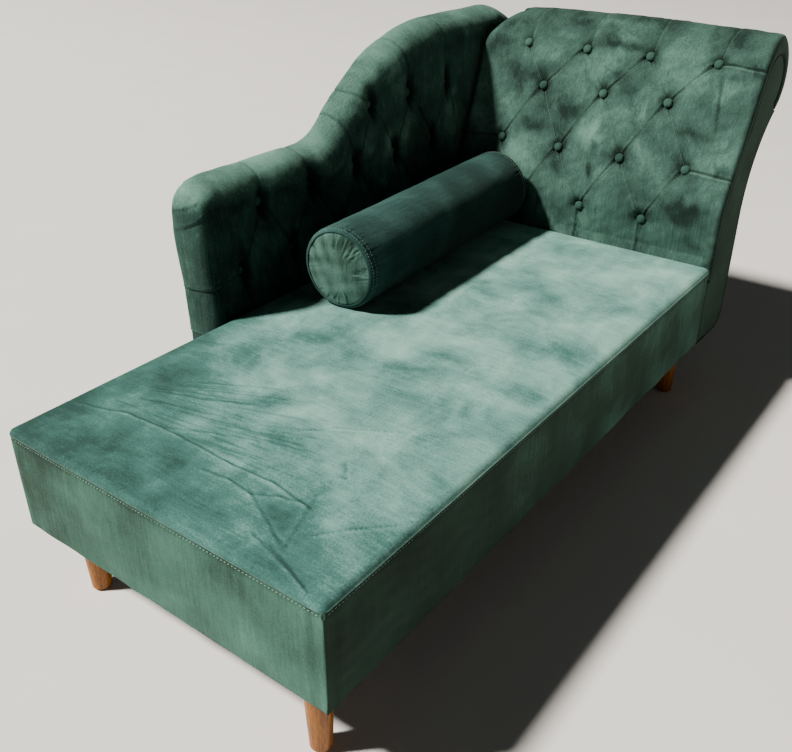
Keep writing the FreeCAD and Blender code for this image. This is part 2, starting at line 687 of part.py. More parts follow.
def arm_outline(inset, end_inset, bottom):
    """The arm seen from its side: square foot, rounded front, S-shaped crest and rounded back."""
    low, high = CREST_LOW - inset, CREST_HIGH - inset
    x0, x1 = ARM_START + end_inset, ARM_END - end_inset
    turn, high_radius = ogee()
    low_radius, high_radius = OGEE_LOW_RADIUS + inset, high_radius - inset
    front_corner = max(ARM_FRONT_CORNER - inset, 1.0)
    rear_corner = ARM_REAR_CORNER - inset
    front_z, rear_z = low - front_corner, high - rear_corner
    edges = [
        line(Vector(x0, 0, bottom), Vector(x0, 0, front_z)),
        arc_xz((x0 + front_corner, front_z), front_corner, 180, 90),
        line(Vector(x0 + front_corner, 0, low), Vector(OGEE_START, 0, low)),
        arc_xz((OGEE_START, low + low_radius), low_radius, 270, 270 + turn),
        arc_xz((OGEE_END, high - high_radius), high_radius, 90 + turn, 90),
        line(Vector(OGEE_END, 0, high), Vector(x1 - rear_corner, 0, high)),
        arc_xz((x1 - rear_corner, rear_z), rear_corner, 90, 0),
        line(Vector(x1, 0, rear_z), Vector(x1, 0, bottom)),
        line(Vector(x1, 0, bottom), Vector(x0, 0, bottom)),
    ]
    solid = prism(edges, Vector(0, BEYOND, 0))
    solid.translate(Vector(0, SEAT_WIDTH - ARM_THICK, 0))
    return solid


def arm_layer(shallow, deep, inset, end_inset, bottom):
    """A layer of the arm cut to its outline."""
    return arm_slab(shallow, deep).common(arm_outline(inset, end_inset, bottom))


def arm_zone(x0, x1, z0, z1):
    """A stretch of the arm's whole thickness."""
    return box(x0, x1, SEAT_WIDTH - ARM_THICK, SEAT_WIDTH + BEYOND, z0, z1)


def headrest_front_x(z):
    """Where the headrest's face is at a height."""
    bend_z, roll, _, _ = headrest_points()
    if z <= bend_z:
        return SEAT_LENGTH
    lean = math.radians(LEAN)
    tangent_x = roll[0] - ROLL_RADIUS * math.cos(lean)
    tangent_z = roll[1] + ROLL_RADIUS * math.sin(lean)
    return SEAT_LENGTH + max(0.0, tangent_x - (tangent_z - z) * math.tan(lean))


def arm_tufts():
    """Staggered rows of tufts on the arm's inner face, as far as the crest and the headrest leave room."""
    lean = math.radians(ARM_LEAN)
    out = Vector(0, -math.cos(lean), math.sin(lean))
    rows = []
    z = SEAT_TOP + ARM_FIRST_ROW
    while z < CREST_HIGH - ARM_TUFT_HEADROOM:
        row = []
        x = ARM_START + ARM_FIRST_TUFT + ARM_PITCH / 2 * (len(rows) % 2)
        while x < headrest_front_x(z) - ARM_TUFT_RADIUS:
            if crest_z(x) - z > ARM_TUFT_HEADROOM:
                row.append((Vector(x, arm_y(0, z), z), out))
            x += ARM_PITCH
        rows.append(row)
        z += ARM_ROW_STEP
    return rows


def arm_shell():
    """The arm's rounded outer form, hollowed where its foam, frame and outer board go."""
    cover_out = ARM_THICK - ARM_OUTSIDE_COVER
    board_in = cover_out - ARM_OUTER_BOARD
    form = arm_layer(0, cover_out, 0, 0, BOX_BOTTOM)
    form = form.makeFillet(ARM_EDGE_ROUND, rim_edges(form, True))
    form = form.makeFillet(ARM_OUTER_ROUND, rim_edges(form, False))
    form = form.cut(arm_layer(ARM_COVER, board_in, ARM_COVER, ARM_END_COVER, 0))
    return form.cut(arm_layer(board_in, ARM_THICK, ARM_OUTER_ROUND, ARM_OUTER_ROUND, 0))


def rim_edges(form, inner):
    """The edges that run round the arm's inner face, or round its outer face."""
    found = []
    for edge in form.Edges:
        middle = edge.valueAt((edge.FirstParameter + edge.LastParameter) / 2)
        depth = middle.y - arm_y(0, middle.z)
        near = depth < OVERRUN if inner else depth > ARM_THICK - ARM_OUTSIDE_COVER - OVERRUN
        above = edge.BoundBox.ZMax > SEAT_TOP + OVERRUN
        upright = edge.BoundBox.ZLength > SEAT_TOP - BOX_BOTTOM - OVERRUN
        if near and (above or upright):
            found.append(edge)
    return found


def make_arm_upholstery():
    """The buttoned cover over the inner face, crest and ends, its foam, the plain covers and the buttons."""
    pad_bottom = SEAT_TOP - ARM_TUCK
    cover_out = ARM_THICK - ARM_OUTSIDE_COVER
    shell = arm_shell()
    beside_seat = arm_zone(ARM_START - OVERRUN, SEAT_LENGTH, 0, pad_bottom)
    rows = arm_tufts()
    first, out = rows[0][0]
    folds = [(first, Vector(ARM_START, first.y, first.z), out)]
    for row in rows:
        for point, way in row:
            top = crest_z(point.x)
            if top - point.z < ARM_TUFT_HEADROOM + ARM_ROW_STEP / 2:
                folds.append((point, Vector(point.x, arm_y(0, top), top), way))
    keep("arm_tufted_cover", tufted(shell.cut(beside_seat), rows, ARM_TUFT_RADIUS, ARM_TUFT_DEPTH, folds))
    keep("arm_buttons", Part.makeCompound([button(p, o, ARM_TUFT_DEPTH) for row in rows for p, o in row]))
    keep("arm_front_skirt", shell.common(arm_zone(ARM_START, ARM_START + ARM_END_COVER, 0, pad_bottom)))
    foam = arm_layer(ARM_COVER, ARM_COVER + ARM_FOAM, ARM_COVER, ARM_END_COVER, FRAME_BOTTOM)
    keep("arm_foam", foam.cut(beside_seat))
    keep("arm_outside_cover", arm_layer(cover_out, ARM_THICK, ARM_OUTER_ROUND, ARM_OUTER_ROUND, BOX_BOTTOM))
    dust = arm_layer(ARM_COVER, cover_out - ARM_OUTER_BOARD, ARM_COVER, ARM_END_COVER, BOX_BOTTOM)
    keep("arm_dust_cover", dust.common(arm_zone(ARM_START, ARM_END, 0, FRAME_BOTTOM)))


def make_arm_frame():
    """Boards, rails and posts inside the arm, and the bolts that hold it to the seat."""
    core = ARM_COVER + ARM_FOAM
    frame_in = core + ARM_INNER_BOARD
    frame_out = ARM_THICK - ARM_OUTSIDE_COVER - ARM_OUTER_BOARD
    x0, x1 = ARM_START + ARM_END_COVER, ARM_END - ARM_END_COVER
    keep("arm_inner_board", arm_layer(core, frame_in, ARM_COVER, ARM_END_COVER, FRAME_BOTTOM))
    board_out = frame_out + ARM_OUTER_BOARD
    keep("arm_outer_board", arm_layer(frame_out, board_out, ARM_OUTER_ROUND, ARM_OUTER_ROUND, BOX_BOTTOM))
    frame = arm_layer(frame_in, frame_out, ARM_COVER, ARM_END_COVER, FRAME_BOTTOM)
    under_crest = arm_layer(frame_in, frame_out, ARM_COVER + ARM_CREST_RAIL, ARM_END_COVER, FRAME_BOTTOM)
    keep("arm_crest_rail", frame.cut(under_crest))
    rail_top = FRAME_BOTTOM + ARM_RAIL_HIGH
    keep("arm_bottom_rail", under_crest.common(arm_zone(x0, x1, FRAME_BOTTOM, rail_top)))
    middle = (x0 + x1 - ARM_POST_WIDE) / 2
    for name, x in (("front", x0), ("middle", middle), ("rear", x1 - ARM_POST_WIDE)):
        keep("arm_post_" + name, under_crest.common(arm_zone(x, x + ARM_POST_WIDE, rail_top, CREST_HIGH)))
    packing_x, packing_z = ARM_START + ARM_EDGE_ROUND, FRAME_BOTTOM + PLANK_UP
    packing = box(packing_x, SEAT_LENGTH, arm_y(0, 0), arm_y(core, 0), packing_z, packing_z + PLANK_HIGH)
    bolts = []
    across = Vector(0, 1, 0)
    rail_face = SEAT_WIDTH - BOXING_MIDDLE - RAIL_THICK
    reach = RAIL_THICK + BOXING_MIDDLE + core
    for x in arm_bolt_rows():
        start = Vector(x, rail_face - BOLT_HEAD_THICK, BOX_BOTTOM + BOLT_UP)
        bolts.append(bolt(start, across, reach))
        packing = packing.cut(rod(BOLT_RADIUS + BOLT_CLEARANCE, start, across, 2 * reach))
    keep("arm_packing_rail", packing)
    keep("arm_bolts", Part.makeCompound(bolts))


# Bolster

def bolster_profile(start, end, radius, shoulder):
    """Half of a bolster's section: flat ends, rounded shoulders and a straight side, turned about +X."""
    a, b = Vector(start, 0, 0), Vector(start, 0, radius - shoulder)
    c, d = Vector(start + shoulder, 0, radius), Vector(end - shoulder, 0, radius)
    e, f = Vector(end, 0, radius - shoulder), Vector(end, 0, 0)
    lift = shoulder * (1 - math.sqrt(0.5))
    first = Part.Arc(b, Vector(start + lift, 0, radius - lift), c).toShape()
    second = Part.Arc(d, Vector(end - lift, 0, radius - lift), e).toShape()
    wire = Part.Wire([line(a, b), first, line(c, d), second, line(e, f), line(f, a)])
    return Part.Face(wire).revolve(Vector(0, 0, 0), Vector(1, 0, 0), 360)


def bolster_end():
    """The gathered disc that closes the bolster's near end: flat behind and slightly domed in front."""
    radius = BOLSTER_RADIUS - BOLSTER_SHOULDER - LAYER_GAP
    dome = (radius * radius + BOLSTER_END_CROWN * BOLSTER_END_CROWN) / (2 * BOLSTER_END_CROWN)
    disc = rod(radius, Vector(0, 0, 0), Vector(1, 0, 0), BOLSTER_END_CROWN + BOLSTER_END)
    return disc.common(Part.makeSphere(dome, Vector(dome, 0, 0)))


def make_bolster():
    """A foam roll in a tubular cover with two end discs, resting on the seat beside the arm."""
    inner = BOLSTER_RADIUS - BOLSTER_COVER
    outer_form = bolster_profile(0, BOLSTER_LENGTH, BOLSTER_RADIUS, BOLSTER_SHOULDER)
    inner_form = bolster_profile(
        BOLSTER_COVER, BOLSTER_LENGTH - BOLSTER_COVER, inner, BOLSTER_SHOULDER - BOLSTER_COVER
    )
    mouth = BOLSTER_RADIUS - BOLSTER_SHOULDER
    through = rod(mouth, Vector(0, 0, 0), Vector(1, 0, 0), BOLSTER_LENGTH)
    cover = outer_form.cut(inner_form).cut(through)
    clear = BOLSTER_END_CROWN + BOLSTER_END
    core_radius = inner - LAYER_GAP
    core = bolster_profile(clear, BOLSTER_LENGTH - clear, core_radius, BOLSTER_SHOULDER - BOLSTER_COVER)
    near_end = bolster_end()
    far_end = near_end.mirror(Vector(BOLSTER_LENGTH / 2, 0, 0), Vector(1, 0, 0))
    parts = {
        "bolster_cover": cover,
        "bolster_core": core,
        "bolster_end_near": near_end,
        "bolster_end_far": far_end,
    }
    turn = math.radians(BOLSTER_TURN)
    far_x = SEAT_LENGTH - BOLSTER_TO_HEADREST - BOLSTER_RADIUS * math.sin(turn)
    far_y = SEAT_WIDTH - BOLSTER_TO_ARM - BOLSTER_RADIUS * math.cos(turn)
    near_x = far_x - BOLSTER_LENGTH * math.cos(turn)
    near_y = far_y - BOLSTER_LENGTH * math.sin(turn)
    high = SEAT_TOP + SEAT_CROWN_MIDDLE + BOLSTER_RADIUS + REST_GAP
    for shape in parts.values():
        shape.rotate(Vector(0, 0, 0), Vector(0, 0, 1), BOLSTER_TURN)
        shape.translate(Vector(near_x, near_y, high))
    drop = parts["bolster_cover"].distToShape(pieces["seat_cover_top"])[0] - REST_GAP
    for name, shape in parts.items():
        shape.translate(Vector(0, 0, -drop))
        keep(name, shape)


os.makedirs("parts", exist_ok=True)
make_seat_frame()
make_legs()
make_seat_upholstery()
make_headrest()
make_arm_frame()
make_arm_upholstery()
make_bolster()

whole = Part.makeCompound(list(pieces.values())).optimalBoundingBox(False, False)
to_origin = Vector(-(whole.XMin + whole.XMax) / 2, -(whole.YMin + whole.YMax) / 2, -whole.ZMin)
for name, shape in pieces.items():
    shape.translate(to_origin)
    shape.exportStep("parts/" + name + ".step")
    print(name, shape.isValid(), len(shape.Solids), round(shape.Volume / 1000.0, 1), len(shape.Faces))
print("size", round(whole.XLength, 1), round(whole.YLength, 1), round(whole.ZLength, 1))
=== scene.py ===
import math
import bpy
import bmesh
import numpy as np
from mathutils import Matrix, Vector


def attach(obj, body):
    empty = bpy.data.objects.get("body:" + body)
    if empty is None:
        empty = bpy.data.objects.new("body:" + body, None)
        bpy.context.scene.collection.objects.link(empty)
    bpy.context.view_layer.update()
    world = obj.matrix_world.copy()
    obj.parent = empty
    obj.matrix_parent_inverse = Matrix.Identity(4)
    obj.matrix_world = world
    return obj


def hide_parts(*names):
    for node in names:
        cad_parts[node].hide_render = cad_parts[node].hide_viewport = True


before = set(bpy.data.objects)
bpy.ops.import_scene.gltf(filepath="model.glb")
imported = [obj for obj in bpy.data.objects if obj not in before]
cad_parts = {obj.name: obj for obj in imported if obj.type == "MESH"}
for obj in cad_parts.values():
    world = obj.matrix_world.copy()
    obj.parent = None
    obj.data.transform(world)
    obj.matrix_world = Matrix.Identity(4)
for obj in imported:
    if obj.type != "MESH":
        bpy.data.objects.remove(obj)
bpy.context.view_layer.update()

# Wooden frame. Softwood rails, posts, braces and arm rails, sawn and planed, with birch plywood ribs and
# planks screwed to them. Sawn wood shows pale straight grain; the edges of the sheets show their plies.


def linear(hex_colour):
    parts = [int(hex_colour[k:k + 2], 16) / 255 for k in (1, 3, 5)]
    return [c / 12.92 if c <= 0.04045 else ((c + 0.055) / 1.055) ** 2.4 for c in parts] + [1.0]


def node(tree, kind, inputs=None, **settings):
    made = tree.nodes.new(kind)
    for name, value in settings.items():
        setattr(made, name, value)
    for name, value in (inputs or {}).items():
        if isinstance(value, bpy.types.NodeSocket):
            tree.links.new(value, made.inputs[name])
        else:
            made.inputs[name].default_value = value
    return made


def new_material(name, **shader):
    material = bpy.data.materials.new(name)
    material.use_nodes = True
    bsdf = material.node_tree.nodes["Principled BSDF"]
    for socket, value in shader.items():
        bsdf.inputs[socket.replace("_", " ")].default_value = value
    return material, material.node_tree, bsdf


def ramp(tree, factor, *stops):
    made = node(tree, "ShaderNodeValToRGB", {"Fac": factor})
    bar = made.color_ramp
    while len(bar.elements) < len(stops):
        bar.elements.new(0.5)
    for element, (place, colour) in zip(bar.elements, stops):
        element.position = place
        element.color = linear(colour) if isinstance(colour, str) else colour
    return made.outputs["Color"]


def stretched(tree, scale):
    where = node(tree, "ShaderNodeTexCoord").outputs["Object"]
    return node(tree, "ShaderNodeMapping", {"Vector": where, "Scale": scale}).outputs["Vector"]


def planed_wood(name, pale, dark, along, ring_mm=9.0):
    material, tree, bsdf = new_material(name, Roughness=0.62)
    scale = [1000 / ring_mm] * 3
    scale[along] *= 0.06
    where = stretched(tree, scale)
    rings = node(tree, "ShaderNodeTexNoise", {"Vector": where, "Scale": 1.0, "Detail": 3.0,
                                             "Distortion": 0.6})
    fibre = node(tree, "ShaderNodeTexNoise", {"Vector": where, "Scale": 9.0, "Detail": 2.0})
    both = node(tree, "ShaderNodeMath", {0: rings.outputs["Fac"], 1: fibre.outputs["Fac"]}, operation="ADD")
    half = node(tree, "ShaderNodeMath", {0: both.outputs[0], 1: 0.5}, operation="MULTIPLY")
    tree.links.new(ramp(tree, half.outputs[0], (0.38, dark), (0.62, pale)), bsdf.inputs["Base Color"])
    bump = node(tree, "ShaderNodeBump", {"Height": fibre.outputs["Fac"], "Strength": 0.25,
                                         "Distance": 0.0006})
    tree.links.new(bump.outputs["Normal"], bsdf.inputs["Normal"])
    return material


def refinish(material, *names):
    for name in names:
        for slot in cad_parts[name].material_slots:
            slot.material = material


PINE = ("#E0C08C", "#C49A62")
refinish(planed_wood("pine_planed_lengthwise", *PINE, 0), "seat_rail_open_side", "seat_rail_arm_side",
         "arm_bottom_rail", "arm_packing_rail", "arm_crest_rail")
refinish(planed_wood("pine_planed_across", *PINE, 1), "seat_rail_foot", "seat_rail_head", "seat_brace_1",
         "seat_brace_2", "headrest_top_pole", "headrest_spreader")
refinish(planed_wood("pine_planed_upright", *PINE, 2), "seat_post_foot_open", "seat_post_foot_arm",
         "seat_post_head_open", "seat_post_head_arm", "arm_post_front", "arm_post_middle", "arm_post_rear")
refinish(planed_wood("birch_plywood", "#DDBE92", "#BE9460", 0, 4.0), "headrest_rib_open_side",
         "headrest_rib_middle", "headrest_rib_arm_side", "headrest_mounting_plank")


# Boards. Hardboard, 3 to 6 mm, bent over the ribs of the headrest and nailed to both sides of the arm.
# It is pressed wood fibre: brown, faintly mottled, smooth on the face that shows.


def flecked(name, texture, per_metre, low, high, inputs=None, bump=None, **shader):
    material, tree, bsdf = new_material(name, **shader)
    settings = {"Vector": stretched(tree, [per_metre] * 3), "Scale": 1.0, **(inputs or {})}
    shown = node(tree, "ShaderNodeTex" + texture, settings)
    shown = shown.outputs["Distance" if texture == "Voronoi" else "Fac"]
    tree.links.new(ramp(tree, shown, low, high), bsdf.inputs["Base Color"])
    if bump:
        relief = node(tree, "ShaderNodeBump", {"Height": shown, "Strength": bump[0], "Distance": bump[1]})
        tree.links.new(relief.outputs["Normal"], bsdf.inputs["Normal"])
    return material


hardboard = flecked("pressed_hardboard", "Noise", 420.0, (0.3, "#6E4A2E"), (0.7, "#8E6844"), {"Detail": 4.0},
                    (0.2, 0.0004), Roughness=0.55)
refinish(hardboard, "headrest_front_board", "headrest_back_board", "arm_inner_board", "arm_outer_board")


# Bolts, hanger bolts and threaded inserts. Rolled and turned from steel, then zinc-plated: a cool bright grey
# with a fine grain and a soft shine.
zinc = flecked("zinc_plated_steel", "Noise", 900.0, (0.3, "#A8ABAD"), (0.7, "#C6C8CA"), {"Detail": 2.0},
               Metallic=1.0, Roughness=0.34)
refinish(zinc, "leg_hanger_bolts", "leg_threaded_inserts", "headrest_bolts", "arm_bolts")


# Legs. Four turned and tapered hardwood legs, warm tan, with a satin clear lacquer over straight grain that
# runs down the leg in narrow darker lines.
lacquered_wood, tree, bsdf = new_material("lacquered_hardwood", Roughness=0.45, Coat_Weight=0.06,
                                          Coat_Roughness=0.25, Specular_IOR_Level=0.3)
grain = node(tree, "ShaderNodeTexNoise", {"Vector": stretched(tree, [240.0, 240.0, 9.0]), "Scale": 1.0,
                                         "Detail": 4.0, "Distortion": 0.4})
pores = node(tree, "ShaderNodeTexNoise", {"Vector": stretched(tree, [1400.0, 1400.0, 45.0]), "Scale": 1.0,
                                         "Detail": 1.0})
tone = node(tree, "ShaderNodeMath", {0: grain.outputs["Fac"], 1: pores.outputs["Fac"]}, operation="ADD")
tone = node(tree, "ShaderNodeMath", {0: tone.outputs[0], 1: 0.5}, operation="MULTIPLY")
tree.links.new(ramp(tree, tone.outputs[0], (0.36, "#593006"), (0.5, "#8C5008"), (0.64, "#A26A14")),
               bsdf.inputs["Base Color"])
relief = node(tree, "ShaderNodeBump", {"Height": pores.outputs["Fac"], "Strength": 0.15, "Distance": 0.0004})
tree.links.new(relief.outputs["Normal"], bsdf.inputs["Normal"])
refinish(lacquered_wood, "leg_foot_open", "leg_foot_arm", "leg_head_open", "leg_head_arm")


# Glides. Nail-on discs under the legs, moulded in dark brown nylon: half dull, and a little paler where the
# floor has scuffed them.
nylon = flecked("moulded_nylon", "Noise", 500.0, (0.35, "#2C241E"), (0.75, "#4A3E34"), {"Detail": 3.0},
                Roughness=0.45)
refinish(nylon, "leg_glides")


# Webbing. Elastic straps 60 mm wide, stretched over the rails both ways and stapled. The weave shows as fine
# ribs across the strap, 2 mm apart, in a sandy colour.
strap_weave, tree, bsdf = new_material("elastic_webbing", Roughness=0.85)
ribs = node(tree, "ShaderNodeTexWave", {"Vector": stretched(tree, [1.0] * 3), "Scale": 80.0,
                                        "Distortion": 0.4}, bands_direction="DIAGONAL")
tree.links.new(ramp(tree, ribs.outputs["Fac"], (0.2, "#8C7A5C"), (0.8, "#B8A582")), bsdf.inputs["Base Color"])
weave = node(tree, "ShaderNodeBump", {"Height": ribs.outputs["Fac"], "Strength": 0.5, "Distance": 0.0008})
tree.links.new(weave.outputs["Normal"], bsdf.inputs["Normal"])
refinish(strap_weave, "seat_webbing_across", "seat_webbing_along")


# Foam. The seat block, the headrest and arm layers and the bolster's core are cut polyurethane foam with soft
# edges and open cells, cream coloured, hidden under the velvet.
foam_cells = flecked("polyurethane_foam", "Voronoi", 600.0, (0.0, "#C9B98C"), (0.7, "#EBDFBA"),
                     bump=(0.5, 0.001), Roughness=0.95)


def only(piece):
    bpy.ops.object.select_all(action="DESELECT")
    piece.select_set(True)
    bpy.context.view_layer.objects.active = piece


def apply_modifier(piece, kind, **settings):
    only(piece)
    modifier = piece.modifiers.new(kind.lower(), kind)
    for name, value in settings.items():
        setattr(modifier, name, value)
    bpy.ops.object.modifier_apply(modifier=modifier.name)


def dress(piece, material, body, slot, *nodes):
    piece.data.materials.clear()
    piece.data.materials.append(material)
    for polygon in piece.data.polygons:
        polygon.use_smooth = True
    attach(piece, body)
    if nodes:
        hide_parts(*nodes)


def added(name, data):
    piece = bpy.data.objects.new(name, data)
    bpy.context.collection.objects.link(piece)
    return piece


def soft_block(name, source, body, voxel, settle):
    block = added(name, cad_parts[source].data.copy())
    block.matrix_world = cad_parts[source].matrix_world.copy()
    only(block)
    bpy.ops.object.transform_apply(location=True, rotation=True, scale=True)
    bpy.ops.object.mode_set(mode="EDIT")
    bpy.ops.mesh.select_all(action="SELECT")
    bpy.ops.mesh.remove_doubles(threshold=0.00005)
    bpy.ops.object.mode_set(mode="OBJECT")
    apply_modifier(block, "REMESH", mode="VOXEL", voxel_size=voxel)
    apply_modifier(block, "SMOOTH", factor=0.5, iterations=3)
    apply_modifier(block, "DISPLACE", strength=-settle, mid_level=0.0)
    dress(block, foam_cells, body, "foam", source)


soft_block("seat_foam_block", "seat_foam", "chaise", 0.010, 0.003)
soft_block("headrest_foam_layer", "headrest_foam", "chaise", 0.006, 0.004)
soft_block("arm_foam_layer", "arm_foam", "chaise", 0.006, 0.008)
soft_block("bolster_foam_core", "bolster_core", "bolster", 0.008, 0.002)


# Seat cover. A crowned top panel and four boxing panels of crushed velvet, sewn with a seam along the top
# edge that is topstitched in pale thread, pulled over the foam and stapled under the frame.
SEAT_LONG, SEAT_WIDE, SEAT_TOP, BOX_BOTTOM = 1380.0, 700.0, 337.0, 135.0
MIDDLE = np.array([862.5, 419.0535, 0.0])


# Crushed velvet. A dense pile pressed to lie every way: pale where it leans to the eye and nearly black where
# it leans away, in smears a hand wide, streaks along the cloth and a grain of tufts. The tufts are drawn 3 mm
# across since real ones are too fine to show. The attribute "nap" holds how the pile lies at each point, with
# painted shade and painted light added in: darker in creases, pits, corners and on faces turned from the
# lamp, paler on faces turned to it. Each piece also gets its own paler or darker copy, as painted light and
# shade.
SMEAR_MM, STREAK_LONG_MM, STREAK_MM, TUFT_MM = 120.0, 70.0, 5.0, 3.0


def crushed_velvet(name, lit, mid, deep, lay, sheen=0.2, smeary=0.4, streaky=0.12, grainy=0.18):
    material, tree, bsdf = new_material(name, Roughness=0.9, Sheen_Weight=sheen, Sheen_Roughness=0.42,
                                        Sheen_Tint=linear("#A9D2C0"), Specular_IOR_Level=0.12)
    brushed = [1000 / STREAK_MM] * 3
    brushed[lay] = 1000 / STREAK_LONG_MM
    smears = node(tree, "ShaderNodeTexNoise", {"Vector": stretched(tree, [1000 / SMEAR_MM] * 3), "Scale": 1.0,
                                              "Detail": 5.0, "Roughness": 0.58, "Distortion": 0.4})
    streaks = node(tree, "ShaderNodeTexNoise", {"Vector": stretched(tree, brushed), "Scale": 1.0,
                                               "Detail": 2.0, "Distortion": 0.6})
    pile = node(tree, "ShaderNodeTexNoise", {"Vector": stretched(tree, [1000 / TUFT_MM] * 3), "Scale": 1.0,
                                            "Detail": 3.0, "Roughness": 0.65})
    # Reads the nap attribute: the pile's lie plus painted shade and painted light.
    pile_and_painted_shading = node(tree, "ShaderNodeAttribute", attribute_name="nap")
    centre = 0.5 - 0.5 * (smeary + streaky + grainy)
    mixed = node(tree, "ShaderNodeMath", {0: pile_and_painted_shading.outputs["Fac"], 1: 0.1, 2: centre},
                 operation="MULTIPLY_ADD")
    for share, layer in ((smeary, smears), (streaky, streaks), (grainy, pile)):
        mixed = node(tree, "ShaderNodeMath", {0: layer.outputs["Fac"], 1: share, 2: mixed.outputs[0]},
                     operation="MULTIPLY_ADD")
    lit, mid, deep = np.array(linear(lit)), np.array(linear(mid)), np.array(linear(deep))
    palest, deepest = mid + 2.2 * (lit - mid), deep * 0.4
    palest[3] = deepest[3] = 1.0
    colour = ramp(tree, mixed.outputs[0], (0.2, deepest), (0.37, deep), (0.5, mid), (0.62, lit),
                  (0.77, palest))
    tree.links.new(colour, bsdf.inputs["Base Color"])
    nap = node(tree, "ShaderNodeBump", {"Height": streaks.outputs["Fac"], "Strength": 0.25,
                                        "Distance": 0.0012})
    fine = node(tree, "ShaderNodeBump", {"Height": pile.outputs["Fac"], "Strength": 0.35, "Distance": 0.0008,
                                        "Normal": nap.outputs["Normal"]})
    tree.links.new(fine.outputs["Normal"], bsdf.inputs["Normal"])
    return material


def unit(value):
    return np.clip(value, 0, 1)


# Gentle unevenness, about SIZE mm from crest to crest.
def waves(size, seed, *coordinates):
    draw = np.random.default_rng(seed)
    total = 0.0
    for _ in range(7):
        direction = draw.normal(size=len(coordinates))
        direction *= 2 * math.pi / (size * draw.uniform(0.7, 1.6) * np.linalg.norm(direction))
        phase = sum(d * c for d, c in zip(direction, coordinates))
        total = total + np.sin(phase + draw.uniform(0, 2 * math.pi))
    return total / 2.6


# A soft ridge that fades out over WIDTH mm.
def ridge(distance, width):
    return np.exp(-(distance / width) ** 2)


# How far points lie beside a line, and their share of the way along it.
def beside(u, v, start, end):
    along = np.subtract(end, start)
    length = math.hypot(*along)
    share = ((u - start[0]) * along[0] + (v - start[1]) * along[1]) / length ** 2
    across = ((u - start[0]) * along[1] - (v - start[1]) * along[0]) / length
    return across, share


# Strokes where a hand has brushed the pile one way or the other.
def brush_marks(seed, u, v, count, lean, long=(35, 90), wide=(8, 26)):
    draw = np.random.default_rng(seed)
    total = np.zeros_like(u)
    for _ in range(count):
        middle_u, middle_v = draw.uniform(u.min(), u.max()), draw.uniform(v.min(), v.max())
        turn = lean + draw.normal(0, 0.55)
        reach, half = draw.uniform(*long), draw.uniform(*wide)
        along = (u - middle_u) * math.cos(turn) + (v - middle_v) * math.sin(turn)
        across = (v - middle_v) * math.cos(turn) - (u - middle_u) * math.sin(turn)
        across = across + draw.normal(0, 0.0022) * along ** 2
        mark = unit((half - np.abs(across)) / (0.35 * half))
        mark = mark * unit((reach - np.abs(along)) / (0.7 * reach))
        bristles = 0.8 + 0.2 * np.sin(across * 2 * math.pi / draw.uniform(6, 11) + draw.uniform(0, 6))
        total = total + draw.choice((-1, -1, 1)) * draw.uniform(0.3, 1.0) * mark * bristles
    return np.clip(total, -1.3, 1.1)


# Single marks in the pile: each has its place, turn, half length, half width and strength.
def smudges(marks, u, v):
    total = np.zeros_like(u)
    stray_u, stray_v = waves(38, 81, u, v), waves(38, 82, u, v)
    for place_u, place_v, turn, reach, half, strength in marks:
        turn, stray = math.radians(turn), min(7, 0.25 * half)
        far_u, far_v = u - place_u + stray * stray_u, v - place_v + stray * stray_v
        along = far_u * math.cos(turn) + far_v * math.sin(turn)
        across = far_v * math.cos(turn) - far_u * math.sin(turn)
        total = total + strength * np.exp(-1.4 * (along / reach) ** 2 - 1.4 * (across / half) ** 2)
    return total


def woven_mesh(name, points, ring=False):
    rows, columns = points.shape[:2]
    row = columns * np.arange(rows - 1)[:, None]
    j = np.arange(columns if ring else columns - 1)[None, :]
    after = (j + 1) % columns
    faces = np.stack([row + j, row + after, row + columns + after, row + columns + j], -1)
    mesh = bpy.data.meshes.new(name)
    mesh.from_pydata((points.reshape(-1, 3) - MIDDLE) / 1000, [], faces.reshape(-1, 4))
    return mesh


# A cloth piece from a grid of points, with seams and poles closed, faces outwards and a thickness inwards.
def cloth(name, points, outward, thick=2.0, ring=False, nap=None):
    mesh = woven_mesh(name, points, ring)
    if nap is not None:
        layer = mesh.attributes.new("nap", "FLOAT", "POINT")
        layer.data.foreach_set("value", nap.reshape(-1).astype(np.float32))
    shape = bmesh.new()
    shape.from_mesh(mesh)
    bmesh.ops.remove_doubles(shape, verts=shape.verts, dist=0.00004)
    bmesh.ops.dissolve_degenerate(shape, edges=shape.edges, dist=0.00002)
    shape.normal_update()
    facing = sum(f.normal.dot(outward(f.calc_center_median())) * f.calc_area() for f in shape.faces)
    if facing < 0:
        bmesh.ops.reverse_faces(shape, faces=shape.faces)
    shape.to_mesh(mesh)
    shape.free()
    piece = added(name, mesh)
    if thick:
        apply_modifier(piece, "SOLIDIFY", thickness=thick / 1000, offset=-1.0, use_rim=True)
    return piece


def spread(length, step, fine_to=0.0, fine_step=3.0):
    near = np.arange(0, fine_to, fine_step)
    return np.concatenate([near, np.linspace(fine_to, length, max(2, round((length - fine_to) / step) + 1))])


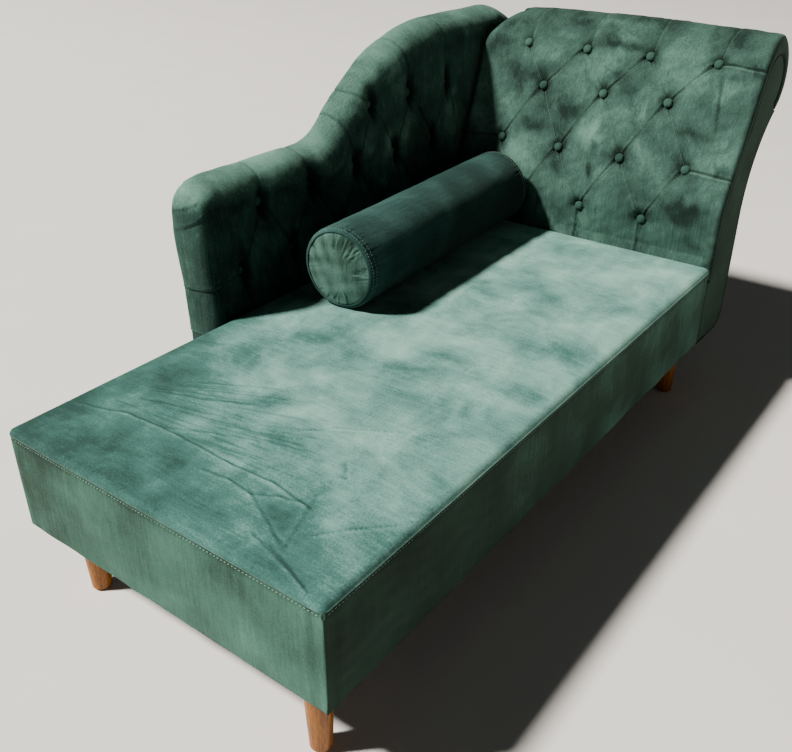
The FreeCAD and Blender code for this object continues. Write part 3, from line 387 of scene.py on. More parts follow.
# A flat panel whose edges roll over into the seam and tuck under.
def sewn_panel(u, v, long, high, radius):
    turn, tuck = math.radians(82) * radius, 4.0
    steps = np.linspace(0.15, 1, 6) * turn
    overshoot = np.concatenate([steps, [turn + tuck]])
    u = np.concatenate([radius - overshoot[::-1], u[(u > radius) & (u < long - radius)],
                        long - radius + overshoot])
    v = np.concatenate([radius - overshoot[::-1], v[(v > radius) & (v < high - radius)],
                        high - radius + overshoot])
    u, v = np.meshgrid(u, v, indexing="ij")
    flat_u, flat_v = np.clip(u, radius, long - radius), np.clip(v, radius, high - radius)
    a, b = u - flat_u, v - flat_v
    reach = np.hypot(a, b)
    angle = np.minimum(reach, turn) / radius
    inwards = np.minimum(np.maximum(reach - turn, 0), tuck)
    out = radius * np.sin(angle) - inwards
    scale = np.divide(out, reach, out=np.zeros_like(out), where=reach > 1e-9)
    drop = -radius * (1 - np.cos(angle)) - 0.3 * inwards
    return flat_u + a * scale, flat_v + b * scale, drop


def raised_to(normal):
    return lambda centre: normal


# Painted light and shade: one velvet in two copies. The top panel's is paler, as for a face turned up to the
# lamp; the boxing's is darker, as for upright faces in less light.
seat_velvet = crushed_velvet("crushed_velvet_seat", "#89B9AD", "#6A9A92", "#426F68", 1, 0.3, 0.6, 0.13, 0.3)
boxing_velvet = crushed_velvet("crushed_velvet_boxing", "#5D8D80", "#436A5D", "#253B31", 2, 0.12, 0.22, 0.1,
                               0.16)

SEAT_CREASES = [(((123, 683), (150, 569), (157, 448), (151, 323), (155, 229), (144, 151)), 1.6),
                (((150, 582), (157, 486), (195, 404), (219, 334)), 0.8),
                (((116, 342), (121, 291), (115, 240), (137, 201), (146, 158)), 1.2),
                (((162, 157), (61, 120), (74, 166)), 0.7), (((48, 137), (31, 83), (14, 40)), 1.0),
                (((221, 163), (226, 150), (255, 173)), 0.8), (((283, 292), (327, 247), (376, 162)), 0.7),
                (((100, 103), (148, 64), (189, 23)), 0.8), (((119, 246), (80, 167), (57, 126)), 0.8),
                (((606, 186), (640, 182), (655, 163), (661, 119)), 0.7),
                (((53, 172), (30, 90), (18, 47)), 0.8)]
SEAT_MARKS = [(952, 352, 60, 62, 30, -1.0), (994, 222, 60, 55, 26, -0.8), (502, 110, 30, 50, 17, -0.8),
              (552, 288, 85, 48, 26, -0.9), (247, 170, 20, 18, 14, -0.9), (686, 407, 85, 50, 30, -0.8),
              (638, 246, 105, 66, 17, -0.8), (470, 440, 88, 46, 32, -0.7), (94, 165, 15, 50, 28, -0.6),
              (430, 330, 70, 90, 26, 0.6), (360, 150, 40, 80, 30, 0.5), (820, 200, 80, 90, 36, 0.5),
              (900, 430, 75, 70, 26, 0.5), (1180, 330, 85, 120, 40, 0.4), (300, 520, 80, 100, 34, -0.4)]
TOP_ROUND = 13.0
u, v, drop = sewn_panel(spread(SEAT_LONG, 5.6, 360, 1.9), spread(SEAT_WIDE, 5.0), SEAT_LONG, SEAT_WIDE,
                        TOP_ROUND)
inside = unit(np.minimum(np.minimum(u, SEAT_LONG - u), np.minimum(v, SEAT_WIDE - v)) / 60)
crown = 8.5 * (1 - (2 * u / SEAT_LONG - 1) ** 4) * (1 - (2 * v / SEAT_WIDE - 1) ** 4)
top = SEAT_TOP + drop + crown + inside * (0.9 * waves(190, 11, u, v) + 0.5 * waves(46, 12, u, v))
brushed_u, brushed_v = u + 6 * waves(40, 8, u, v), v + 6 * waves(40, 9, u, v)
nap = 0.5 * brush_marks(16, brushed_u, brushed_v, 70, 1.3, (40, 130), (10, 34))
nap = nap + 0.2 * waves(200, 17, u, v) + smudges(SEAT_MARKS, u, v)
nap = nap - 2.1 * unit((v - 330) / 370) * unit((760 - u) / 700) ** 0.7
second_band = 2.0 - 1.1 * unit((230 - v) / 130)
nap = nap - (1.6 * ridge(u, 60) + second_band * ridge(u - 110, 62)) * (1 - 0.6 * unit((v - 430) / 150))
# Painted shade: the pile is drawn darker along the edge against the arm, in the corner where the two meet. It
# also grows a little paler toward the head end.
nap = nap - 0.7 * ridge(SEAT_WIDE - v, 45) + 0.3 * unit((u - 420) / 300)
for crease, depth in SEAT_CREASES:
    for start, end in zip(crease[:-1], crease[1:]):
        across, share = beside(u, v, start, end)
        held = unit(share * 8 + 1.2) * unit((1 - share) * 8 + 1.2)
        top = top + held * depth * (0.6 * ridge(across - 4.5, 4.5) - ridge(across, 2.4))
        # Painted shade down each crease, with a painted highlight on its lip.
        nap = nap + held * (0.4 * ridge(across - 5, 3.5) - 1.0 * depth * ridge(across, 2.2))
draw = np.random.default_rng(14)
for _ in range(44):
    start_u, start_v, reach = draw.uniform(160, 290), draw.uniform(330, 650), draw.uniform(60, 210)
    tilt = 0.08 + 0.45 * (start_u - 160) / 130 + draw.normal(0, 0.05)
    across, share = beside(u, v, (start_u, start_v), (start_u + tilt * reach, start_v - reach))
    mark = unit(share * 6) * unit((1 - share) * 6) * ridge(across, 1.9)
    top = top - 0.5 * mark
    nap = nap - draw.uniform(0.4, 1.1) * mark
seat_top = cloth("seat_top_panel", np.stack([u, v, top], -1), raised_to((0, 0, 1)), nap=nap)
dress(seat_top, seat_velvet, "chaise", "velvet", "seat_cover_top")
BOXING_HIGH, BOW = SEAT_TOP - 7.0 - BOX_BOTTOM, 3.0
STITCH_PITCH, STITCH_LONG, STITCH_Z, FIRST_STITCH = 7.0, 4.4, 318.0, 14.0


def boxing(name, node_name, long, place, outward, shade=(0.0, 0.0), ends=(3.0, 3.0)):
    high = BOXING_HIGH
    u, v, drop = sewn_panel(spread(long, 5.0), spread(high, 4.0), long, high, 3.5)
    bow = BOW * (1 - (2 * v / high - 1) ** 2) + 0.7 * waves(120, len(name), u, v) + 0.3 * waves(35, 6, u, v)
    edge = unit(np.minimum(u, long - u) / 25)
    ripple = 0.5 * np.sin(u / 7.5 + 2 * waves(90, 5, u)) * ridge(high - v, 18) * edge
    ripple = ripple - 1.0 * ridge(v + BOX_BOTTOM - STITCH_Z, 3.0)
    for end in (0, long):
        ripple = ripple - 1.2 * ridge(np.abs(u - end) - 22, 5) * ridge(v - 0.75 * high, 0.4 * high)
    away = drop + bow * edge + ripple - BOW
    nap = 0.2 * brush_marks(len(name), u, v, 26, 0.3, (40, 120), (8, 30)) + 0.25 * waves(150, 7, u, v)
    # Painted shade: the shade pair darkens the panel from one end to the other, and the pile is drawn darker
    # in the groove at the topstitching and in the creases near each end.
    nap = nap + shade[0] + (shade[1] - shade[0]) * u / long - 0.5 * ridge(v + BOX_BOTTOM - STITCH_Z, 5)
    nap = nap - 0.5 * ridge(np.minimum(u, long - u) - 22, 9)
    points = place(ends[0] + u * (1 - sum(ends) / long), v + BOX_BOTTOM, away)
    piece = cloth(name, points, raised_to(outward), nap=nap)
    dress(piece, boxing_velvet, "chaise", "velvet", node_name)


boxing("seat_boxing_panel_foot", "seat_boxing_foot", SEAT_WIDE,
       lambda u, z, n: np.stack([-n, u, z], -1), (-1, 0, 0), (0.0, -0.9))
boxing("seat_boxing_panel_head", "seat_boxing_head", SEAT_WIDE,
       lambda u, z, n: np.stack([SEAT_LONG + np.minimum(n, 0), u, z], -1), (1, 0, 0))
boxing("seat_boxing_panel_open_side", "seat_boxing_open_side", SEAT_LONG,
       lambda u, z, n: np.stack([u, -n, z], -1), (0, -1, 0), (-2.1, -0.6), (3.0, 0.0))
boxing("seat_boxing_panel_arm_side", "seat_boxing_arm_side", SEAT_LONG,
       lambda u, z, n: np.stack([u, SEAT_WIDE + np.minimum(n, 0), z], -1), (0, 1, 0), ends=(3.0, 0.0))

# Polyester thread, twisted: paler than the pile and a little glossy, so each stitch shows as a light dash.
thread = flecked("polyester_thread", "Noise", 2500.0, (0.3, "#4C6F62"), (0.7, "#739586"), Roughness=0.7)


def small_round(segments, rings, radius, stretch, cut_at=None):
    bpy.ops.object.select_all(action="DESELECT")
    bpy.ops.mesh.primitive_uv_sphere_add(segments=segments, ring_count=rings, radius=radius / 1000)
    one = bpy.context.object
    bpy.ops.object.mode_set(mode="EDIT")
    bpy.ops.transform.resize(value=(1, 1, stretch))
    if cut_at is not None:
        bpy.ops.mesh.bisect(plane_co=(0, 0, cut_at / 1000), plane_no=(0, 0, 1), use_fill=True,
                            clear_inner=True)
    bpy.ops.object.mode_set(mode="OBJECT")
    shape = np.array([corner.co for corner in one.data.vertices])
    faces = [tuple(face.vertices) for face in one.data.polygons]
    bpy.data.objects.remove(one)
    return shape, faces


def sewn_copies(name, shape, faces, places, beyond):
    verts, all_faces = [], []
    for middle, axis in places:
        axis = np.array(axis) / np.linalg.norm(axis)
        side = np.cross(beyond, axis)
        side /= np.linalg.norm(side)
        turned = shape @ np.array([side, np.cross(axis, side), axis])
        all_faces += [tuple(k + len(verts) for k in face) for face in faces]
        verts += [tuple(p) for p in turned + (np.array(middle) - MIDDLE) / 1000]
    mesh = bpy.data.meshes.new(name)
    mesh.from_pydata(verts, [], all_faces)
    return added(name, mesh)


def stitches(name, places, body="chaise", radius=0.85):
    one = small_round(8, 6, radius, STITCH_LONG / 2 / radius)
    dress(sewn_copies(name, *one, places, (-0.3, -0.5, -0.81)), thread, body, "velvet")


high_up = 2 * (STITCH_Z - BOX_BOTTOM) / BOXING_HIGH - 1
sunk = BOW - BOW * (1 - high_up ** 2) + 0.6
along_foot = np.arange(FIRST_STITCH, SEAT_WIDE - FIRST_STITCH, STITCH_PITCH)
stitches("seat_topstitching_foot", [((sunk, y, STITCH_Z), (0, 1, 0)) for y in along_foot])
along_side = np.arange(FIRST_STITCH, SEAT_LONG - FIRST_STITCH, STITCH_PITCH)
stitches("seat_topstitching_open_side", [((x, sunk, STITCH_Z), (1, 0, 0)) for x in along_side])


# Dust covers. Thin black polypropylene cloth, stapled under the seat and under the arm, where it sags a
# little. Its fibres are bonded at small dots, so it looks dull with a faint pattern of paler spots.
spunbond = flecked("spunbonded_polypropylene", "Voronoi", 400.0, (0.1, "#0E0F10"), (0.6, "#202224"),
                   Roughness=0.8)


def dust_cover(name, node_name, x0, x1, y0, y1, sag):
    x, y = np.meshgrid(np.linspace(x0, x1, round((x1 - x0) / 15)), np.linspace(y0, y1, round((y1 - y0) / 9)),
                       indexing="ij")
    shape = (1 - (2 * (x - x0) / (x1 - x0) - 1) ** 4) * (1 - (2 * (y - y0) / (y1 - y0) - 1) ** 4)
    z = BOX_BOTTOM + 0.5 - sag * shape * (1 + 0.4 * waves(140, 18, x, y))
    piece = cloth(name, np.stack([x, y, z], -1), raised_to((0, 0, -1)), thick=0.4)
    dress(piece, spunbond, "chaise", "dust_cloth", node_name)


dust_cover("seat_dust_sheet", "seat_dust_cover", 4.0, 1376.0, 4.0, 696.0, 2.6)
dust_cover("arm_dust_sheet", "arm_dust_cover", 498.0, 1707.0, 728.5, 790.5, 1.2)


# Headrest. A foamed and wadded pad goes up the front, over the roll and down behind it, lightly tufted with
# covered buttons. Folded seams run between the buttons; plain velvet panels close the sides and the back.
PAD_THICK, ROLL_BACK, ROLL_Z, ROLL_RADIUS, LEAN = 27.0, 225.0, 718.0, 90.0, math.radians(26.6)
FRONT_BEND, BEND_Z, PAD_FOOT = 220.0, 417.7, 300.0
ARM_LEAN = math.tan(math.radians(5))
TOP_CORNER = 80.0


def headrest_profile(s):
    up = BEND_Z - PAD_FOOT
    bent = FRONT_BEND * LEAN
    start = np.array([FRONT_BEND * (1 - math.cos(LEAN)), BEND_Z + FRONT_BEND * math.sin(LEAN)])
    tangent = np.array([ROLL_BACK - ROLL_RADIUS * math.cos(LEAN), ROLL_Z + ROLL_RADIUS * math.sin(LEAN)])
    straight = np.linalg.norm(tangent - start)
    turn = np.clip((s - up) / FRONT_BEND, 0, LEAN)
    back = FRONT_BEND * (1 - np.cos(turn))
    high = PAD_FOOT + np.minimum(s, up) + FRONT_BEND * np.sin(turn)
    lean = np.clip(s - up - bent, 0, straight)
    back, high = back + lean * math.sin(LEAN), high + lean * math.cos(LEAN)
    roll = np.maximum(s - up - bent - straight, 0) / ROLL_RADIUS
    angle = math.pi - LEAN - roll
    on_roll = roll > 0
    back = np.where(on_roll, ROLL_BACK + ROLL_RADIUS * np.cos(angle), back)
    high = np.where(on_roll, ROLL_Z + ROLL_RADIUS * np.sin(angle), high)
    heading = np.where(on_roll, math.pi - angle, turn)
    return back, high, heading


S_LEAN = BEND_Z - PAD_FOOT + FRONT_BEND * LEAN
STRAIGHT_LONG = 270.7
S_ROLL = S_LEAN + STRAIGHT_LONG
S_END = S_ROLL + ROLL_RADIUS * (math.pi - LEAN + math.radians(58))
PITCH, MIDDLE_Y = 165.0, 359.0
ROW_S = [412.0 - PAD_FOOT, S_LEAN + 30.0, S_LEAN + 174.2, S_ROLL + ROLL_RADIUS * math.radians(3.4)]
ROW_SHIFT = [-4.0, 3.0, 9.0, 2.0]
headrest_buttons = [(ROW_S[row], MIDDLE_Y + ROW_SHIFT[row] + PITCH * (k if row % 2 == 0 else k + 0.5))
                    for row in range(4) for k in ((-1, 0, 1) if row % 2 == 0 else (-2, -1, 0, 1))]


headrest_creases = []
for place, side in headrest_buttons:
    row = ROW_S.index(place)
    for to_place, to_side in headrest_buttons:
        if 60 < place - to_place < 160 and abs(abs(to_side - side) - PITCH / 2) < 25:
            rising = ((0.4, 5.0, 2.4, 3.6), (5.5, -4.0))
            falling = ((0.28, 3.0, 2.2, 3.0), (1.0,))
            form, sewn_at = rising if to_side > side else falling
            headrest_creases.append(((place, side), (to_place, to_side), form, sewn_at))
    if row == 3:
        headrest_creases.append(((place, side), (place + 120, side - 11), (0.5, 3.0, 2.2, 2.0), (5.0,)))
    if row == 0:
        headrest_creases.append(((place, side), (place - 90, side + 3), (0.8, 4.0, 3.0, 3.0), ()))
    if row in (1, 3) and side < PITCH:
        headrest_creases.append(((place, side), (place - 10, -12), (1.5, 0.5, 2.8, 2.0), (4.0,)))
    if row == 1 and side > SEAT_WIDE - PITCH:
        headrest_creases.append(((place, side), (place - 10, SEAT_WIDE + 20), (1.5, 0.5, 2.4, 2.0), ()))


def fold(across, share, reach, mouth, depth, valley):
    inside = unit((share + 0.02) * 25) * unit((1.02 - share) * 25)
    near = np.maximum(ridge(share, reach), ridge(1 - share, reach)) * inside
    half = mouth * unit(1 - 1.1 * share)
    line = -depth * (ridge(across - half, 2.3) + 0.7 * ridge(across + half, 2.0) * (half > 0.8))
    line = line + 1.3 * ridge(across, 0.4 + half * 0.7) * (half > 0.8) + 1.0 * ridge(across - half - 5.5, 3.5)
    line = line - 0.9 * mouth * ridge(share, 0.2) * ridge(across - 2.5, 4.0)
    return near * line, -near * valley * ridge(across, 17)


def headrest_relief(s, y):
    broad, line = np.zeros_like(s), np.zeros_like(s)
    for place, side in headrest_buttons:
        distance = np.hypot(s - place, y - side)
        broad = broad - 9.5 * ridge(distance, 30)
        line = line - 4.5 * ridge(distance, 13)
    for start, end, form, _ in headrest_creases:
        across, share = beside(s, y, start, end)
        sharp, soft = fold(across, share, *form)
        line, broad = line + sharp, broad + soft
    return broad, line


def headrest_width(z):
    wide = SEAT_WIDE - 0.7 + np.maximum(z - SEAT_TOP, 0) * ARM_LEAN
    into_corner = np.maximum(z - (ROLL_Z + ROLL_RADIUS - TOP_CORNER), 0)
    corner = np.sqrt(np.maximum(TOP_CORNER ** 2 - into_corner ** 2, 0))
    return wide - np.where(into_corner > 0, TOP_CORNER - corner, 0)


def normals_of(points):
    first, second = np.gradient(points, axis=0), np.gradient(points, axis=1)
    normal = np.cross(first, second)
    return normal / np.maximum(np.linalg.norm(normal, axis=2, keepdims=True), 1e-9)


# A short cloth simulation blows a trial cover up between the points that are held down.
def inflated(points, held, pressure, most):
    piece = added("trial_cover", woven_mesh("trial_cover", points))
    group = piece.vertex_groups.new(name="held")
    for index in np.flatnonzero(held.reshape(-1) > 0):
        group.add([int(index)], float(held.reshape(-1)[index]), "REPLACE")
    modifier = piece.modifiers.new("cloth", "CLOTH")
    fabric = modifier.settings
    fabric.vertex_group_mass = "held"
    fabric.quality, fabric.mass = 6, 0.25
    fabric.tension_stiffness = fabric.compression_stiffness = 12
    fabric.shear_stiffness, fabric.bending_stiffness = 4, 0.3
    fabric.use_pressure, fabric.uniform_pressure_force = True, pressure
    fabric.shrink_min = -0.04
    fabric.effector_weights.gravity = 0
    for step in range(1, 21):
        bpy.context.scene.frame_set(step)
    shaped = piece.evaluated_get(bpy.context.evaluated_depsgraph_get()).data
    after = np.empty(len(shaped.vertices) * 3)
    shaped.vertices.foreach_get("co", after)
    bpy.context.scene.frame_set(1)
    bpy.data.objects.remove(piece)
    move = after.reshape(points.shape) * 1000 + MIDDLE - points
    far = np.linalg.norm(move, axis=2, keepdims=True)
    return move * np.minimum(1, most / np.maximum(far, 1e-6))


# Evens out what the coarse trial cover leaves in small zigzags.
def smoothed(grid, times):
    for _ in range(times):
        wide = np.pad(grid, 1, mode="edge")
        grid = (wide[:-2, 1:-1] + wide[2:, 1:-1] + wide[1:-1, :-2] + wide[1:-1, 2:] + 2 * grid) / 6
    return grid


def finer(coarse, rows, columns, to_rows, to_columns):
    half = np.stack([np.interp(to_columns, columns, line) for line in coarse])
    return np.stack([np.interp(to_rows, rows, half[:, k]) for k in range(half.shape[1])], 1)


EDGE_ROUND = 13.0
s = np.linspace(0, S_END, 370)
back, high, heading = headrest_profile(s)
wide = headrest_width(high)
quarter = np.linspace(0, math.pi / 2, 9)[:-1]
front = np.linspace(0, 1, 300)
side_in = [PAD_THICK, 20.0]
depth_row = np.concatenate([side_in, EDGE_ROUND * (1 - np.sin(quarter)), np.zeros(len(front)),
                            EDGE_ROUND * (1 - np.sin(quarter[::-1])), side_in[::-1], [PAD_THICK] * 11])
inset_row = np.concatenate([[2.0, 0.0], EDGE_ROUND * (1 - np.cos(quarter)), np.full(len(front), EDGE_ROUND),
                            EDGE_ROUND * (1 - np.cos(quarter[::-1])), [0.0, 2.0], np.full(11, 2.0)])
share_row = np.concatenate([np.zeros(2 + len(quarter)), front, np.ones(len(quarter) + 2),
                            np.linspace(1, 0, 13)[1:-1]])
y = inset_row + share_row * (wide[:, None] - 2 * inset_row)
grid_s = np.repeat(s[:, None], len(share_row), 1)
rim = np.minimum(grid_s, S_END - grid_s)
rolled_in = 8 - np.sqrt(np.maximum(64 - np.maximum(8 - rim, 0) ** 2, 0))
face = unit((EDGE_ROUND + 1 - depth_row) / EDGE_ROUND)
seated = unit((high[:, None] - SEAT_TOP + 12) / 30)


def on_headrest(along, across, sunk):
    back, high, heading = headrest_profile(along)
    return np.stack([SEAT_LONG + back + sunk * np.cos(heading), across, high - sunk * np.sin(heading)], -1)


coarse_s = np.linspace(0, S_END, 112)
coarse_share = np.linspace(0, 1, 96)
coarse_s_grid, across = np.meshgrid(coarse_s, coarse_share, indexing="ij")
across = EDGE_ROUND + across * (headrest_width(headrest_profile(coarse_s_grid)[1]) - 2 * EDGE_ROUND)
broad, line = headrest_relief(coarse_s_grid, across)
held = np.zeros_like(across)
for place, side in headrest_buttons:
    held = np.maximum(held, 1.0 * (np.hypot(coarse_s_grid - place, across - side) < 10))
held[[0, 1, -1]] = held[:, [0, -1]] = 1.0
shape = on_headrest(coarse_s_grid, across, -broad)
move = inflated(shape, np.maximum(held, 0.35 * unit(-line / 3)), 3.0, 7.0)
outward = -normals_of(shape) * np.sign(normals_of(shape)[50, 50, 0])
swell = finer(smoothed((move * outward).sum(-1), 4), coarse_s, coarse_share, s, unit(share_row))
broad, line = headrest_relief(grid_s, y)
over_roll = unit((grid_s - S_ROLL - 15) / 110)
over_roll = over_roll ** 2 * (3 - 2 * over_roll) * unit((S_END - grid_s) / 70)
plump = (15 + 9 * unit(y / 350)) * (0.75 + 0.25 * unit((wide[:, None] - y) / 80))
lift = (broad + line + swell) * (1 - 0.6 * over_roll) + plump * over_roll
lift = lift + 0.5 * waves(150, 21, grid_s, y) + 0.25 * waves(30, 22, grid_s, y)
depth = depth_row - face * (lift * seated - rolled_in)
points = np.stack([SEAT_LONG + back[:, None] + depth * np.cos(heading)[:, None], y,
                   high[:, None] - depth * np.sin(heading)[:, None]], -1)
HEADREST_MARKS = [(425, 600, 80, 70, 40, -1.3), (560, 480, 85, 45, 14, -0.8), (293, 541, 80, 44, 24, -1.3),
                  (339, 434, 60, 46, 34, -1.2), (408, 312, 47, 60, 26, -0.8), (513, 348, 88, 70, 12, -1.3),
                  (205, 434, 60, 34, 30, -1.4), (205, 345, 20, 26, 8, -1.5), (150, 88, 65, 64, 44, -2.2),
                  (97, 428, 60, 40, 26, -0.8), (405, 84, 10, 66, 5, -1.2), (293, 372, 60, 62, 30, 1.1),
                  (206, 541, 55, 60, 34, 1.1), (413, 250, 80, 60, 28, 0.4), (150, 270, 70, 50, 26, 0.1),
                  (275, 229, 60, 40, 30, 0.4), (570, 374, 88, 90, 12, 0.6), (524, 502, 88, 60, 14, 0.6),
                  (441, 60, 80, 60, 24, 0.3), (254, 77, 70, 50, 24, 0.3), (330, 120, 80, 60, 14, -0.8)]
brushed_s, brushed_y = grid_s + 5 * waves(36, 25, grid_s, y), y + 5 * waves(36, 26, grid_s, y)
# Painted shade and light: the pile is drawn darker where the relief sinks into pits and seams and paler on
# the lips beside them. The brush marks on top are the cloth's own.
nap = 0.28 * line + 0.06 * broad + 0.65 * brush_marks(23, brushed_s, brushed_y, 110, 0.25, (25, 80), (5, 22))
nap = nap + smudges(HEADREST_MARKS, grid_s, y) + 0.25 * waves(170, 24, grid_s, y)
# Painted light and shade: the pile is drawn paler where the pad's folds tilt up beyond its profile and darker
# where they tilt down. It is much darker on the pad's rounded sides, which are in shade, and a little darker
# over the roll.
crease_light = normals_of(points)[..., 2] * np.sign(normals_of(points)[200, 150, 2])
crease_light = crease_light - np.sin(heading)[:, None]
nap = face * (nap - 0.5 * over_roll + 1.2 * crease_light) - 2.4 * (1 - face)
# Painted shade: the headrest's copy of the velvet is darker than the seat's, as for a face in less light.
headrest_velvet = crushed_velvet("crushed_velvet_headrest", "#5A8075", "#3A5850", "#1B2E29", 2, 0.25)
pad = cloth("headrest_pad", points, lambda c: (-1, 0, 0.4), thick=0, ring=True, nap=nap)
only(pad)
bpy.ops.object.mode_set(mode="EDIT")
bpy.ops.mesh.select_all(action="DESELECT")
bpy.ops.mesh.select_non_manifold(extend=False)
bpy.ops.mesh.fill_holes(sides=0)
bpy.ops.mesh.select_all(action="SELECT")
bpy.ops.mesh.normals_make_consistent(inside=False)
bpy.ops.object.mode_set(mode="OBJECT")
dress(pad, headrest_velvet, "chaise", "velvet", "headrest_tufted_cover")


def on_pad(along, across):
    i, first = np.clip(along / S_END * (len(s) - 1), 0, len(s) - 2), 2 + len(quarter)
    j = np.interp(across, y[int(i), first:-11 - first], np.arange(len(front))) + first
    (i, a), (j, b) = (int(i), i % 1), (int(j), j % 1)
    flat = points[i:i + 2, j:j + 2]
    middle = ((1 - a) * (1 - b) * flat[0, 0] + (1 - a) * b * flat[0, 1] + a * (1 - b) * flat[1, 0]
              + a * b * flat[1, 1])
    return middle + np.array([-0.35, 0, 0.2])


SEAM_STITCH, EDGE_Y = 5.0, 16


def run_of_stitches(start, end, offset):
    start, end = np.array(start), np.array((end[0], max(end[1], EDGE_Y)))
    length = np.linalg.norm(end - start)
    side = np.array([end[1] - start[1], start[0] - end[0]]) / length
    places = []
    for far in np.arange(18, length - 14, SEAM_STITCH):
        here, ahead = (start + (end - start) * (far + more) / length + offset * side for more in (0, 3))
        places.append((on_pad(*here), on_pad(*ahead) - on_pad(*here)))
    return places


rows_of_stitches = [place for start, end, _, sewn_at in headrest_creases for offset in sewn_at
                    for place in run_of_stitches(start, end, offset)]
stitches("headrest_topstitching", rows_of_stitches, radius=0.4)


BUTTON_RADIUS, BUTTON_THICK, BUTTON_CUT, HEADREST_SUNK = 10.5, 8.0, -2.4, 13.0


def sew_on(name, places, material, *nodes):
    one = small_round(28, 14, BUTTON_RADIUS, BUTTON_THICK / BUTTON_RADIUS * 0.75, BUTTON_CUT)
    piece = sewn_copies(name, *one, places, (0.2, 0.3, 1.0))
    dress(piece, material, "chaise", "button_velvet", *nodes)


button_velvet = crushed_velvet("crushed_velvet_buttons", "#4C6F63", "#34534A", "#1E3630", 2, 0.2)
places = []
for s_button, y_button in headrest_buttons:
    back, high, heading = headrest_profile(np.array(s_button))
    outward = np.array([-math.cos(heading), 0, math.sin(heading)])
    places.append((np.array([SEAT_LONG + back, y_button, high]) - HEADREST_SUNK * outward, outward))
sew_on("headrest_covered_buttons", places, button_velvet, "headrest_buttons")


def between(first, second, rows):
    share = np.linspace(0, 1, rows)[None, :, None]
    share = 0.5 - 0.5 * np.cos(share * math.pi) * (1 - 0.35 * np.sin(share * math.pi) ** 2)
    return first[:, None, :] * (1 - share) + second[:, None, :] * share


def edge_distance(points, outline):
    flat = points.reshape(-1, 2)
    best = np.full(len(flat), 1e9)
    for a, b in zip(outline[:-1], outline[1:]):
        along = b - a
        share = unit(((flat - a) @ along) / max(along @ along, 1e-9))
        best = np.minimum(best, np.linalg.norm(flat - a - share[:, None] * along, axis=1))
    return best.reshape(points.shape[:2])


def arc(centre_x, centre_z, radius, start, end, count):
    turn = np.linspace(start, end, count)
    return np.stack([centre_x + radius * np.cos(turn), centre_z + radius * np.sin(turn)], -1)


def spaced(line, count):
    along = np.concatenate([[0], np.cumsum(np.linalg.norm(np.diff(line, axis=0), axis=1))])
    even = np.linspace(0, along[-1], count)
    return np.stack([np.interp(even, along, line[:, k]) for k in range(2)], -1)


def rolled_edge(distance, radius):
    return radius - np.sqrt(np.maximum(radius ** 2 - np.maximum(radius - distance, 0) ** 2, 0))


REAR_BEND, REAR_CENTRE, REAR_FOOT, HEADREST_DEEP = 250.0, (405.0, 429.6), 42.0, 155.0
UNDER_ROLL, SIDE_SEAM = math.radians(58), 3.0


def back_line(foot_points, bend_points, reach):
    foot = arc(HEADREST_DEEP - REAR_FOOT, BOX_BOTTOM + REAR_FOOT, REAR_FOOT, -math.pi / 2, 0, foot_points)
    return foot, arc(*REAR_CENTRE, REAR_BEND, math.pi, math.pi - reach, bend_points)


def headrest_side(name, node_name, pad_edge, y_face, sign):
    s = np.linspace(0, S_ROLL + ROLL_RADIUS * math.radians(100), 160)
    back, high, heading = headrest_profile(s)
    first = np.stack([back + pad_edge * np.cos(heading), high - pad_edge * np.sin(heading)], -1)
    first = np.concatenate([[[-0.8, BOX_BOTTOM + 3], [-0.8, PAD_FOOT - 3], [8.0, PAD_FOOT - 2]], first])
    foot, rear = back_line(12, 40, UNDER_ROLL)
    over = arc(ROLL_BACK, ROLL_Z, ROLL_RADIUS - pad_edge, -UNDER_ROLL, math.radians(54), 60)
    rear = rear[rear[:, 1] < over[0, 1]]
    second = np.concatenate([foot, rear, over])
    second[:len(foot) + len(rear), 0] -= SIDE_SEAM
    second[:, 1] = np.maximum(second[:, 1], BOX_BOTTOM + 3)
    end = (first[-1] + second[-1]) / 2
    first, second = spaced(first, 170), spaced(second, 170)
    first[-1] = second[-1] = end
    grid = between(first, second, 34)
    outline = np.concatenate([first, second[::-1], first[:1]])
    away = rolled_edge(edge_distance(grid, outline), 4.0)
    z = grid[..., 1]
    y = y_face + sign * (0.6 * waves(140, 31, grid[..., 0], z) - away)
    points = np.stack([SEAT_LONG + grid[..., 0], y, z], -1)
    piece = cloth(name, points, raised_to((0, sign, 0)), thick=2.5)
    dress(piece, side_velvet, "chaise", "velvet", node_name)


# Painted shade: a still darker copy of the velvet, as for a side turned from the lamp, used for the side,
# back and outside panels.
side_velvet = crushed_velvet("crushed_velvet_sides", "#324A3E", "#253A30", "#18261F", 2, 0.12)
headrest_side("headrest_side_panel_open", "headrest_side_cover_open", 28.5, 1.5, -1)
headrest_side("headrest_side_panel_arm", "headrest_side_cover_arm", 30.0, 699.0, 1)

# Headrest's back. One velvet panel down the concave back, from under the roll to the bottom edge, where it is
# stapled under the mounting plank.
line = np.concatenate([[[1.0, BOX_BOTTOM]], *back_line(14, 60, math.radians(58.5))])
line = spaced(line, 120)
tangent = np.gradient(line, axis=0)
tangent /= np.linalg.norm(tangent, axis=1)[:, None]
normal = np.stack([tangent[:, 1], -tangent[:, 0]], -1)
across = np.concatenate([[0, 1, 2.5, 4.5], np.linspace(8, SEAT_WIDE - 8, 110),
                         [SEAT_WIDE - 4.5, SEAT_WIDE - 2.5, SEAT_WIDE - 1, SEAT_WIDE]])
k, across = np.meshgrid(np.arange(len(line)), across, indexing="ij")
along = np.cumsum(np.linalg.norm(np.diff(line, axis=0, prepend=line[:1]), axis=1))[k]
edge = np.minimum(np.minimum(across, SEAT_WIDE - across), along[-1, 0] - along)
out = -rolled_edge(edge, 4.0) + 0.6 * waves(160, 41, along, across)
